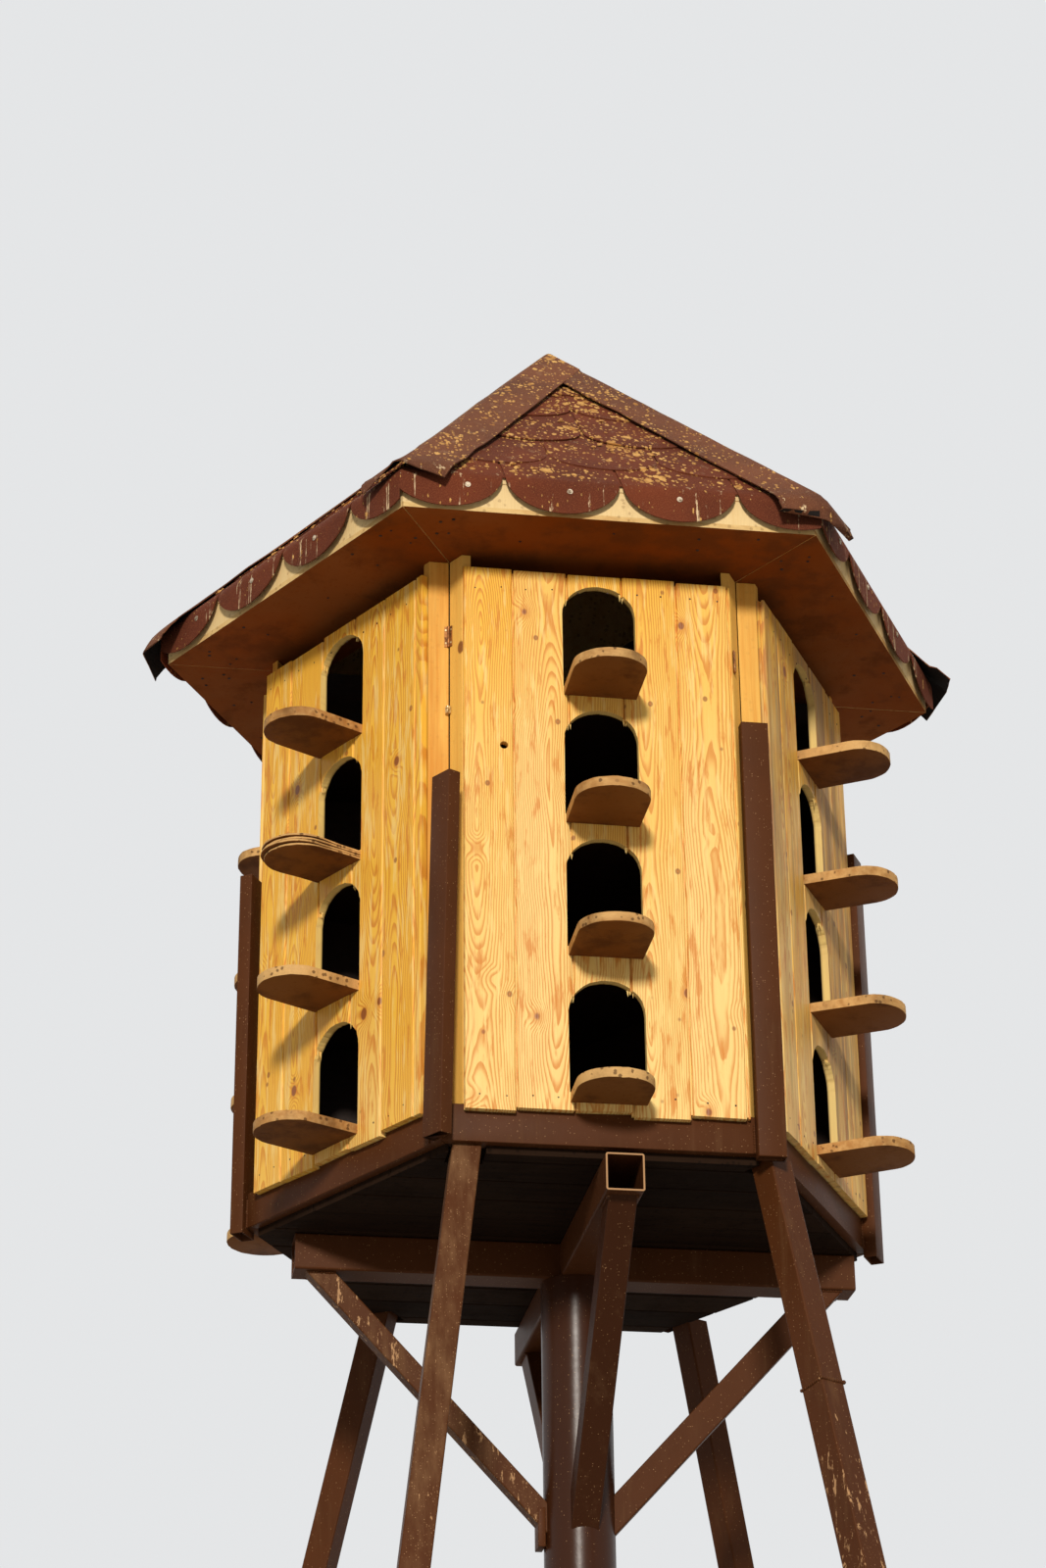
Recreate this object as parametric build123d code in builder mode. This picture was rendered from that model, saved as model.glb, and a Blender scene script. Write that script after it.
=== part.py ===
"""A hexagonal wooden dovecote on a splayed steel stand.

The origin is on the ground, on the centre line of the pole. +Z is up and the front wall
faces -Y. Lengths are millimetres. Levels are heights above the lower edge of the wall
boards, because everything above and below is set out from there.
"""

import os
from math import atan2, cos, radians, sin, sqrt, tan

from build123d import *

os.makedirs("parts", exist_ok=True)

# House: six panels of upright boards
boards_base = 4070.0  # height of the boards' lower edge above the ground
house_shift = -30.0  # the house stands a little to the left of the pole
board_thick = 18.0
board_cover = 120.0
boards_per_wall = 5
knot_hole_radius = 9.0
knot_hole_across = -212.0
knot_hole_level = 831.0

# Pigeon holes and the perches below them
hole_width = 162.0
hole_height = 251.0
perch_width = 160.0
perch_thick = 22.0
perch_reach = 190.0
short_perch_reach = 150.0
lowest_perch_level = 22.0
hole_gaps = (53.0, 34.0, 33.0)  # from the top of a hole to the perch above it
top_margin = 28.0  # from the top of the highest holes to the top of the boards
arch_flattening = 9.5  # the arches are this much lower than a half circle
arch_sweep = 50.0  # angle that the tight arc at each side of an arch turns through

# Nest boxes: floors at the feet of the upper holes and upright boards between them
nest_board = 12.0
nest_core = 11.0  # from the middle of the house to the inner ends of the uprights
nest_fit = 0.3  # between the uprights and what is above and below them
nest_corner_room = 1.2  # between the corner strips and the floors' cut corners

# Corner strips behind the ends of the boards, meeting in a notch
strip_length = 44.7
strip_thick = 20.0
strip_gap = 2.0

# Hinges at the corners, measured down from the top of the boards to their middle
leaf_width = 11.0
leaf_height = 50.0
leaf_thick = 2.0
knuckle_radius = 3.0
hinge_drop = 147.0
edge_hinge_drop = 184.0

# Stand: hollow sections
tube_wall = 3.0
tube_corner = 4.0
rail_height = 80.0
rail_width = 40.0
rail_lap = 15.0  # the boards hang this far down over the rails
deck_thick = 18.0
deck_setback = 22.0  # from the front of the rails to the deck's edge
leg_notch_room = 9.0
arm_size = 80.0
arm_wall = 3.5
arm_corner = 5.0
arm_overhang = 20.0  # beyond the front of the rails
pole_radius = 76.0
pole_wall = 4.5
leg_size = 60.0
leg_turn = 30.0  # of the tube about its own length, in degrees
leg_inset = 24.0  # from the corner of the rails to the outer face of a front leg
rear_leg_outset = 17.3  # from the corner of the rails sideways to the middle of a rear leg
rear_leg_inset = 57.0  # from the rear of the rails to the middle of a rear leg
left_foot_across = 880.0
right_foot_across = 790.0
rear_foot_across = 1226.0
foot_depth = 1420.0
brace_size = 60.0
left_brace_size = 46.0
brace_inset = 27.0  # from the end of an arm to the top of its brace
brace_drop = 550.0  # from the underside of the arms to the foot of a brace
brace_fit = 0.3

# Corner posts: flat tubes standing against the front of the rails
post_width = 60.0
post_depth = 30.0
# The post at the right-hand end of each wall: its gap to the boards, how far its foot is
# below the rails, the level of its top, and how far its top leans to the right
posts = {
    "front": (6.0, 15.0, 917.0, 0.0),
    "front_right": (6.0, 20.0, 894.0, 0.0),
    "rear_right": (6.0, 0.0, 900.0, 0.0),
    "rear": (6.0, 0.0, 860.0, 0.0),
    "rear_left": (6.0, 15.0, 771.0, 0.0),
    "front_left": (21.0, -3.0, 742.0, 30.0),
}

# Roof
soffit_gap = 41.0  # from the top of the boards to the soffit
soffit_thick = 12.0
soffit_lap = 117.0  # how far the soffit runs in behind the boards
eave_reach = 171.0  # from the face of the boards to the edge of the soffit
fascia_height = 62.0
fascia_thick = 18.0
roof_rise = 828.0  # from the top of the fascia to the peak of the boards' underside
roof_board = 12.0
roof_overhang = 2.0  # of the roof boards beyond the fascia
roof_tip = 4.0  # distance from the middle of the blunt peak to its sides
felt_thick = 5.0
tab_width = 248.0
tab_pitch = 257.0
tab_shift = 20.0  # the row of tabs sits this far to the right of the middle
tab_reach = 11.0  # from the lower edge of the fascia down to the tips of the tabs
tabs_per_side = 4
cap_width = 210.0
cap_thick = 5.0
cap_overhang = 77.0  # beyond the corner of the soffit

wall_angles = {
    "front": 270,
    "front_right": 330,
    "rear_right": 30,
    "rear": 90,
    "rear_left": 150,
    "front_left": 210,
}

# Values worked out from the sizes above
corner_turn = radians(60)
corner_slope = tan(radians(30))
wall_width = board_cover * boards_per_wall
perch_levels = [lowest_perch_level]
for hole_gap in hole_gaps:
    perch_levels.append(perch_levels[-1] + perch_thick + hole_height + hole_gap)
wall_height = perch_levels[-1] + perch_thick + hole_height + top_margin
frame_apothem = wall_width / 2 * tan(corner_turn) + 2 * strip_length * sin(corner_turn)
wall_apothem = frame_apothem + board_thick
frame_corner = frame_apothem / cos(radians(30))
rail_top = boards_base + rail_lap
rail_bottom = rail_top - rail_height
deck_bottom = rail_bottom - deck_thick
arm_bottom = deck_bottom - arm_size
arm_reach = frame_apothem + arm_overhang
soffit_bottom = boards_base + wall_height + soffit_gap
soffit_top = soffit_bottom + soffit_thick
soffit_apothem = wall_apothem + eave_reach
fascia_top = soffit_top + fascia_height


def direction(angle):
    """Level unit vector at an angle in degrees from +X."""
    return Vector(cos(radians(angle)), sin(radians(angle)), 0)


def wall_plane(angle, apothem, height):
    """Upright plane on a side of the house: x to the right seen from outside, z outward."""
    origin = Vector(house_shift, 0, height) + direction(angle) * apothem
    return Plane(origin=origin, x_dir=direction(angle + 90), z_dir=direction(angle))


def level_plane(angle, apothem, height):
    """Level plane on a side of the house: x to the left seen from outside, y outward."""
    origin = Vector(house_shift, 0, height) + direction(angle) * apothem
    return Plane(origin=origin, x_dir=direction(angle - 90), z_dir=(0, 0, 1))


def house_level(height):
    """Level plane centred on the house."""
    return Plane(origin=(house_shift, 0, height))


def draw_arch(width, height, base, mode):
    """Arch with upright sides and a top of three arcs, added to the open sketch."""
    turn = radians(arch_sweep)
    half = width / 2
    link = arch_flattening / (cos(turn) + sin(turn) - 1)  # between the centres of two arcs
    shoulder = half - link * cos(turn)
    spring = base + height - half + arch_flattening
    middle_x = half - shoulder + shoulder * cos(turn / 2)
    middle_y = spring + shoulder * sin(turn / 2)
    end_x = half - shoulder + shoulder * cos(turn)
    end_y = spring + shoulder * sin(turn)
    with BuildLine() as outline:
        Line((-half, base), (half, base))
        Line((half, base), (half, spring))
        ThreePointArc((half, spring), (middle_x, middle_y), (end_x, end_y))
        ThreePointArc((end_x, end_y), (0, base + height), (-end_x, end_y))
        ThreePointArc((-end_x, end_y), (-middle_x, middle_y), (-half, spring))
        Line((-half, spring), (-half, base))
    make_face(outline.edges(), mode=mode)


def draw_tube(width, depth, wall, corner):
    """Rounded hollow section, added to the open sketch."""
    RectangleRounded(width, depth, corner)
    RectangleRounded(width - 2 * wall, depth - 2 * wall, corner - wall, mode=Mode.SUBTRACT)


def save(built, name):
    """Label a finished piece and write its file."""
    built.part.label = name
    export_step(built.part, f"parts/{name}.step")


# Centre pole: round pipe from the ground to the underside of the arms
with BuildPart() as centre_pole:
    with BuildSketch(Plane.XY):
        Circle(pole_radius)
        Circle(pole_radius - pole_wall, mode=Mode.SUBTRACT)
    extrude(amount=arm_bottom)
save(centre_pole, "centre_pole")


def build_arm(name, angle, start, length):
    """Level square tube with open ends that runs outward from the pole at an angle."""
    origin = direction(angle) * start + Vector(0, 0, arm_bottom + arm_size / 2)
    place = Plane(origin=origin, x_dir=direction(angle + 90), z_dir=direction(angle))
    with BuildPart() as arm:
        with BuildSketch(place):
            draw_tube(arm_size, arm_size, arm_wall, arm_corner)
        extrude(amount=length)
    save(arm, name)


# Arms: one tube from side to side and two short ones butted to it
build_arm("cross_arm", 0, -arm_reach, 2 * arm_reach)
build_arm("front_arm", 270, arm_size / 2, arm_reach - arm_size / 2)
build_arm("rear_arm", 90, arm_size / 2, arm_reach - arm_size / 2)

# Braces: from the underside of each arm down to the pole
brace_run = arm_reach - brace_inset - pole_radius
brace_length = sqrt(brace_run**2 + brace_drop**2)
braces = {
    "front_brace": (270, brace_size),
    "rear_brace": (90, brace_size),
    "left_brace": (180, left_brace_size),
    "right_brace": (0, brace_size),
}


def build_brace(name, angle, size):
    """Sloping square tube, cut level under the arm and round against the pole."""
    out = direction(angle)
    along = (out * brace_run + Vector(0, 0, brace_drop)).normalized()
    upward = (out * -brace_drop + Vector(0, 0, brace_run)).normalized()
    foot = out * pole_radius + Vector(0, 0, arm_bottom - brace_drop)
    centre = foot - along * (pole_radius / 2) + upward * (size / 2)
    with BuildPart() as brace:
        with BuildSketch(Plane(origin=centre, x_dir=direction(angle + 90), z_dir=along)):
            draw_tube(size, size, tube_wall, tube_corner)
        extrude(amount=brace_length + 2 * size)
        split(bisect_by=Plane.XY.offset(arm_bottom), keep=Keep.BOTTOM)
        with BuildSketch(Plane.XY):
            Circle(pole_radius + brace_fit)
        extrude(amount=arm_bottom, mode=Mode.SUBTRACT)
    save(brace, name)


for brace_name, (brace_angle, size) in braces.items():
    build_brace(brace_name, brace_angle, size)

# Legs: the middle of the top, the middle of the foot, and how far the tube is turned
front_top_radius = frame_corner - leg_inset - leg_size / 2
front_top_across = front_top_radius * cos(corner_turn)
front_top_depth = front_top_radius * sin(corner_turn)
rear_top_across = frame_corner * cos(corner_turn) + rear_leg_outset
rear_top_depth = frame_apothem - rear_leg_inset
legs = {
    "front_left_leg": (
        (-front_top_across, -front_top_depth),
        (-left_foot_across, -foot_depth),
        0,
    ),
    "front_right_leg": (
        (front_top_across, -front_top_depth),
        (right_foot_across, -foot_depth),
        leg_turn,
    ),
    "rear_right_leg": (
        (rear_top_across, rear_top_depth),
        (rear_foot_across, foot_depth),
        leg_turn,
    ),
    "rear_left_leg": (
        (-rear_top_across, rear_top_depth),
        (-rear_foot_across, foot_depth),
        180 - leg_turn,
    ),
}


def build_leg(name, head, foot, turn):
    """Splayed square tube cut level at the ground and under the rails."""
    top = Vector(head[0], head[1], rail_bottom)
    ground = Vector(foot[0], foot[1], 0)
    along = (top - ground).normalized()
    facing = direction(turn)
    across = (facing - along * facing.dot(along)).normalized()
    with BuildPart() as leg:
        with BuildSketch(Plane(origin=ground - along * leg_size, x_dir=across, z_dir=along)):
            draw_tube(leg_size, leg_size, tube_wall, tube_corner)
        extrude(amount=(top - ground).length + 2 * leg_size)
        split(bisect_by=Plane.XY, keep=Keep.TOP)
        split(bisect_by=Plane.XY.offset(rail_bottom), keep=Keep.BOTTOM)
    save(leg, name)


for leg_name, (leg_head, leg_foot, turn) in legs.items():
    build_leg(leg_name, leg_head, leg_foot, turn)

# Base rails: flat tubes mitred into a hexagon, in front of the deck's edge
rail_inner = frame_apothem - rail_width


def build_rail(name, angle):
    """One hollow rail with mitred ends."""
    with BuildPart() as rail:
        with BuildSketch(level_plane(angle, frame_apothem, rail_bottom)):
            with BuildLine() as outline:
                Polyline(
                    (-frame_apothem * corner_slope, 0),
                    (frame_apothem * corner_slope, 0),
                    (rail_inner * corner_slope, -rail_width),
                    (-rail_inner * corner_slope, -rail_width),
                    close=True,
                )
            make_face(outline.edges())
        extrude(amount=rail_height)
        middle = wall_plane(angle, frame_apothem - rail_width / 2, rail_bottom + rail_height / 2)
        with BuildSketch(Plane(origin=middle.origin, x_dir=middle.z_dir, z_dir=middle.x_dir)):
            Rectangle(rail_width - 2 * tube_wall, rail_height - 2 * tube_wall)
        extrude(amount=frame_apothem, both=True, mode=Mode.SUBTRACT)
    save(rail, name)


for side_name, side_angle in wall_angles.items():
    build_rail(f"{side_name}_rail", side_angle)

# Floor deck: planks on the arms, cut back around the legs
notch_size = leg_size + 2 * leg_notch_room
with BuildPart() as floor_deck:
    with BuildSketch(house_level(deck_bottom)):
        RegularPolygon(frame_apothem - deck_setback, 6, major_radius=False)
    extrude(amount=deck_thick)
    for leg_head, leg_foot, turn in legs.values():
        with BuildSketch(Plane(origin=(leg_head[0], leg_head[1], deck_bottom))):
            Rectangle(notch_size, notch_size, rotation=turn)
        extrude(amount=deck_thick, mode=Mode.SUBTRACT)
save(floor_deck, "floor_deck")

# Walls: one panel of upright boards with four arched holes on each side
for side_name, side_angle in wall_angles.items():
    with BuildPart() as wall:
        with BuildSketch(wall_plane(side_angle, frame_apothem, boards_base)):
            Rectangle(wall_width, wall_height, align=(Align.CENTER, Align.MIN))
            for perch_level in perch_levels:
                draw_arch(hole_width, hole_height, perch_level + perch_thick, Mode.SUBTRACT)
            if side_name == "front":
                with Locations((knot_hole_across, knot_hole_level)):
                    Circle(knot_hole_radius, mode=Mode.SUBTRACT)
        extrude(amount=board_thick)
    save(wall, f"{side_name}_wall")

# Perches: a round-ended board at the foot of each hole, the lowest one in front worn short
for side_name, side_angle in wall_angles.items():
    with BuildPart() as perches:
        for number, perch_level in enumerate(perch_levels):
            reach = short_perch_reach if side_name == "front" and number == 0 else perch_reach
            with BuildSketch(level_plane(side_angle, wall_apothem, boards_base + perch_level)):
                draw_arch(perch_width, reach, 0, Mode.ADD)
            extrude(amount=perch_thick)
    save(perches, f"{side_name}_perches")

# Corner strips: two at each corner, from the rails up to the soffit
strip_face = strip_length - strip_gap / 2
strip_depth = strip_face * sin(corner_turn)
with BuildPart() as corner_strips:
    for side_angle in wall_angles.values():
        for hand in (1, -1):
            edge = hand * wall_width / 2
            tip = edge + hand * strip_face * cos(corner_turn)
            with BuildSketch(level_plane(side_angle, frame_apothem, rail_top)):
                with BuildLine() as outline:
                    Polyline(
                        (edge, 0),
                        (tip, -strip_depth),
                        (tip - hand * strip_thick, -strip_depth),
                        (edge - hand * strip_thick, 0),
                        close=True,
                    )
                make_face(outline.edges())
            extrude(amount=soffit_bottom - rail_top)
save(corner_strips, "corner_strips")

# Nest boxes: floors against the backs of the boards, with their corners cut off short of the
# strips, and six uprights in each storey that run from the middle out towards the corners
strip_back = wall_width / 2 + strip_face * cos(corner_turn) - strip_thick
nest_reach = (
    (frame_apothem - strip_depth) * sin(corner_turn)
    + strip_back * cos(corner_turn)
    - nest_corner_room
)
nest_tops = [boards_base + level + perch_thick for level in perch_levels[1:]]
storey_floors = [deck_bottom + deck_thick] + nest_tops
storey_ceilings = [top - nest_board for top in nest_tops] + [soffit_bottom]
with BuildPart() as nest_boxes:
    for nest_top in nest_tops:
        with BuildSketch(house_level(nest_top - nest_board)):
            RegularPolygon(frame_apothem, 6, major_radius=False)
            RegularPolygon(nest_reach, 6, major_radius=False, rotation=30, mode=Mode.INTERSECT)
        extrude(amount=nest_board)
    for floor, ceiling in zip(storey_floors, storey_ceilings):
        with BuildSketch(house_level(floor + nest_fit)):
            with PolarLocations((nest_core + nest_reach) / 2, len(wall_angles)):
                Rectangle(nest_reach - nest_core, nest_board)
        extrude(amount=ceiling - floor - 2 * nest_fit)
save(nest_boxes, "nest_boxes")

# Hinges: in the notch of each corner, but at the right-hand end of the front wall across
# the joint between the boards' ends and the strip
notch_across = wall_width / 2 + strip_length * cos(corner_turn)
notch_apothem = frame_apothem - strip_length * sin(corner_turn)


def draw_hinge(half_angle):
    """Two leaves at an angle each side of the x axis and a round knuckle between them."""
    turn = radians(half_angle)
    for hand in (1, -1):
        with BuildLine() as leaf:
            Polyline(
                (0, 0),
                (leaf_width * cos(turn), hand * leaf_width * sin(turn)),
                (
                    leaf_width * cos(turn) + leaf_thick * sin(turn),
                    hand * (leaf_width * sin(turn) - leaf_thick * cos(turn)),
                ),
                (leaf_thick / sin(turn), 0),
                close=True,
            )
        make_face(leaf.edges())
    with Locations(((knuckle_radius + leaf_thick / 2) / sin(turn), 0)):
        Circle(knuckle_radius)


def hinge_plane(angle, across, apothem, facing, drop):
    """Level plane at the foot of a hinge, with x facing outward between its leaves."""
    spot = wall_plane(angle, apothem, boards_base + wall_height - drop - leaf_height / 2)
    origin = spot.origin + spot.x_dir * across
    return Plane(origin=origin, x_dir=direction(facing), z_dir=(0, 0, 1))


with BuildPart() as hinges:
    for side_name, side_angle in wall_angles.items():
        if side_name == "front":
            half_angle = 75
            facing = side_angle + half_angle
            edge = wall_width / 2
            place = hinge_plane(side_angle, edge, frame_apothem, facing, edge_hinge_drop)
        else:
            half_angle = 60
            facing = side_angle + 30
            place = hinge_plane(side_angle, notch_across, notch_apothem, facing, hinge_drop)
        with BuildSketch(place):
            draw_hinge(half_angle)
        extrude(amount=leaf_height)
save(hinges, "hinges")

# Corner posts: one at the right-hand end of each wall
for side_name, (post_gap, post_drop, post_level, post_lean) in posts.items():
    post_foot = rail_bottom - post_drop
    post_rise = boards_base + post_level - post_foot
    face = wall_plane(wall_angles[side_name], frame_apothem + post_depth / 2, post_foot)
    upward = face.x_dir * post_lean + Vector(0, 0, post_rise)
    foot = face.origin + face.x_dir * (wall_width / 2 + post_gap + post_width / 2)
    place = Plane(origin=foot, x_dir=face.z_dir.cross(upward), z_dir=upward)
    with BuildPart() as post:
        with BuildSketch(place):
            Rectangle(post_width, post_depth)
            bore_width = post_width - 2 * tube_wall
            bore_depth = post_depth - 2 * tube_wall
            Rectangle(bore_width, bore_depth, mode=Mode.SUBTRACT)
        extrude(amount=post_rise)
    save(post, f"{side_name}_post")

# Soffit: a level ring of boards under the eaves, carried by the corner strips
with BuildPart() as soffit:
    with BuildSketch(house_level(soffit_bottom)):
        RegularPolygon(soffit_apothem, 6, major_radius=False)
        RegularPolygon(frame_apothem - soffit_lap, 6, major_radius=False, mode=Mode.SUBTRACT)
    extrude(amount=soffit_thick)
save(soffit, "soffit")

# Roof: each layer lies a known distance outside the underside of the roof boards
roof_slope = roof_rise / soffit_apothem
roof_angle = atan2(roof_rise, soffit_apothem)
boards_apothem = soffit_apothem + roof_overhang
felt_apothem = boards_apothem + felt_thick
tab_drop = fascia_height + tab_reach
tab_bottom = fascia_top - tab_drop
cap_reach = soffit_apothem / cos(radians(30)) + cap_overhang
below_caps = fascia_top - cap_width - cap_overhang * roof_slope


def add_pyramid(lift, base, mode):
    """Blunt hexagonal pyramid whose faces lie a distance outside the boards' underside."""
    peak = fascia_top + roof_rise + lift / cos(roof_angle)
    with BuildSketch(house_level(base)) as foot:
        RegularPolygon((peak - base) / roof_slope, 6, major_radius=False)
    with BuildSketch(house_level(peak - roof_tip * roof_slope)) as tip:
        RegularPolygon(roof_tip, 6, major_radius=False)
    loft([foot.sketch, tip.sketch], mode=mode)


def add_prism(apothem, base, mode):
    """Upright hexagonal prism from base to above the roof."""
    with BuildSketch(house_level(base)) as plan:
        RegularPolygon(apothem, 6, major_radius=False)
    extrude(plan.sketch, amount=roof_rise * 2, mode=mode)


# Fascia: upright boards around the edge of the soffit, bevelled to the roof
with BuildPart() as fascia:
    add_prism(soffit_apothem, soffit_top, Mode.ADD)
    add_prism(soffit_apothem - fascia_thick, soffit_top, Mode.SUBTRACT)
    add_pyramid(0, soffit_top, Mode.INTERSECT)
save(fascia, "fascia")

# Roof boards: a hollow pyramid on the fascia
with BuildPart() as roof_boards:
    add_pyramid(roof_board, fascia_top - roof_board, Mode.ADD)
    add_pyramid(0, fascia_top - roof_board, Mode.SUBTRACT)
    add_prism(boards_apothem, soffit_top, Mode.INTERSECT)
save(roof_boards, "roof_boards")

# Space under the felt, down to the tips of its tabs
with BuildPart() as under_felt:
    add_pyramid(roof_board, tab_bottom, Mode.ADD)
    add_prism(boards_apothem, tab_bottom, Mode.INTERSECT)

# Felt: a skin over the roof boards that turns down over the eaves in round tabs
with BuildPart() as felt:
    add_pyramid(roof_board + felt_thick, tab_bottom, Mode.ADD)
    add_prism(felt_apothem, tab_bottom, Mode.INTERSECT)
    add(under_felt.part, mode=Mode.SUBTRACT)
    for side_angle in wall_angles.values():
        with BuildSketch(wall_plane(side_angle, boards_apothem, tab_bottom)):
            Rectangle(felt_apothem * 2, tab_drop, align=(Align.CENTER, Align.MIN))
            for number in range(tabs_per_side):
                middle = (number - (tabs_per_side - 1) / 2) * tab_pitch + tab_shift
                left = (middle - tab_width / 2, tab_drop)
                right = (middle + tab_width / 2, tab_drop)
                with BuildLine() as outline:
                    Line(left, right)
                    ThreePointArc(left, (middle, 0), right)
                make_face(outline.edges(), mode=Mode.SUBTRACT)
        extrude(amount=felt_thick * 2, mode=Mode.SUBTRACT)
save(felt, "felt")

# Hip caps: folded strips of felt along the six hips, standing out beyond the corners
with BuildPart() as hip_caps:
    add_pyramid(roof_board + felt_thick + cap_thick, below_caps, Mode.ADD)
    add_pyramid(roof_board + felt_thick, below_caps, Mode.SUBTRACT)
    with BuildSketch(house_level(below_caps)) as hip_strips:
        for turn in (0, 60, 120):
            Rectangle(cap_reach * 2, cap_width, rotation=turn)
    extrude(hip_strips.sketch, amount=roof_rise * 2, mode=Mode.INTERSECT)
save(hip_caps, "hip_caps")
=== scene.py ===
"""Looks of a hexagonal wooden dovecote on a splayed steel stand.

Everything is in metres. The pole's centre line is the Z axis, the ground is at height 0
and the front wall faces -Y. Pieces on a side of the house are made at the front, about an
axis through the house, and then turned to their side.
"""

import logging
import math
import random
from contextlib import contextmanager
from dataclasses import dataclass, field
from enum import Enum
from typing import Callable, Dict, Iterator, List, Optional, Sequence, Tuple, Union

import bmesh
import bpy
from mathutils import Matrix, Vector

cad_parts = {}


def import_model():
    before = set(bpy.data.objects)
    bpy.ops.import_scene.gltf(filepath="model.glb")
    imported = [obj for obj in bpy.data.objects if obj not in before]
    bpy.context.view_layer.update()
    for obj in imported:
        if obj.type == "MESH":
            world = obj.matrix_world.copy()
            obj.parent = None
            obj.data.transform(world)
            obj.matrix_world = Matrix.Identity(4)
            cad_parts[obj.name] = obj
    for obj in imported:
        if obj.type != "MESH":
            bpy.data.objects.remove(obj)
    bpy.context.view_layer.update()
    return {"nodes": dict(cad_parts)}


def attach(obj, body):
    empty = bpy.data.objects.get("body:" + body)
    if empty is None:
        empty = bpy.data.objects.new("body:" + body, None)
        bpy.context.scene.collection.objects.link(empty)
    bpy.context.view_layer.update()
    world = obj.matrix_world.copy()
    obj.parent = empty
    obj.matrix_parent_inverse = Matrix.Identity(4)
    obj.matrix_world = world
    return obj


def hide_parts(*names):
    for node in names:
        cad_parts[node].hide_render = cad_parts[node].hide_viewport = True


LOG = logging.getLogger("dovecote")

Piece = bpy.types.Object
Point = Tuple[float, float, float]
Colour = Tuple[float, float, float, float]
Test = Callable[[Vector, Vector], bool]


def paint(red: int, green: int, blue: int) -> Colour:
    """Colour as seen on a screen, from 0 to 255, in the renderer's linear units.

    Args:
        red: Red part.
        green: Green part.
        blue: Blue part.

    Returns:
        The linear colour with full cover.
    """
    parts = []
    for part in (red, green, blue):
        share = part / 255
        parts.append(share / 12.92 if share <= 0.04045 else ((share + 0.055) / 1.055) ** 2.4)
    return (parts[0], parts[1], parts[2], 1.0)


class Side(Enum):
    """Sides of the house by the way they face, in degrees from +X."""

    FRONT = 270
    FRONT_RIGHT = 330
    REAR_RIGHT = 30
    REAR = 90
    REAR_LEFT = 150
    FRONT_LEFT = 210

    @property
    def word(self) -> str:
        """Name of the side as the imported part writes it."""
        return self.name.lower()

    @property
    def turn(self) -> float:
        """Turn about the house from the front to this side, in radians."""
        return math.radians(self.value - 270)


class Element(Enum):
    """Kinds of mesh element that can be picked in edit mode."""

    CORNER = "VERT"
    EDGE = "EDGE"
    FACE = "FACE"


@dataclass(frozen=True)
class House:
    """Main sizes of the house, in metres."""

    shift: float = -0.030
    base: float = 4.070
    frame: float = 0.59704
    board: float = 0.018
    half_width: float = 0.300
    height: float = 1.262
    hole_width: float = 0.162
    hole_height: float = 0.251
    hole_crown: float = 0.0715
    perch_levels: Tuple[float, ...] = (0.022, 0.348, 0.655, 0.961)
    perch_thick: float = 0.022
    rail_bottom: float = 4.005
    rail_top: float = 4.085
    deck_bottom: float = 3.987
    arm_bottom: float = 3.907
    soffit_bottom: float = 5.373
    soffit_top: float = 5.385
    soffit_apothem: float = 0.78604
    soffit_inner: float = 0.48004
    fascia_top: float = 5.447
    roof_rise: float = 0.828

    @property
    def face(self) -> float:
        """Distance from the house's axis to the face of the boards."""
        return self.frame + self.board

    @property
    def roof_turn(self) -> float:
        """Slope of the roof, in radians."""
        return math.atan2(self.roof_rise, self.soffit_apothem)

    @property
    def slope_length(self) -> float:
        """Length of a roof face from the eave to the peak."""
        return math.hypot(self.roof_rise, self.soffit_apothem)


HOUSE = House()


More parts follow.
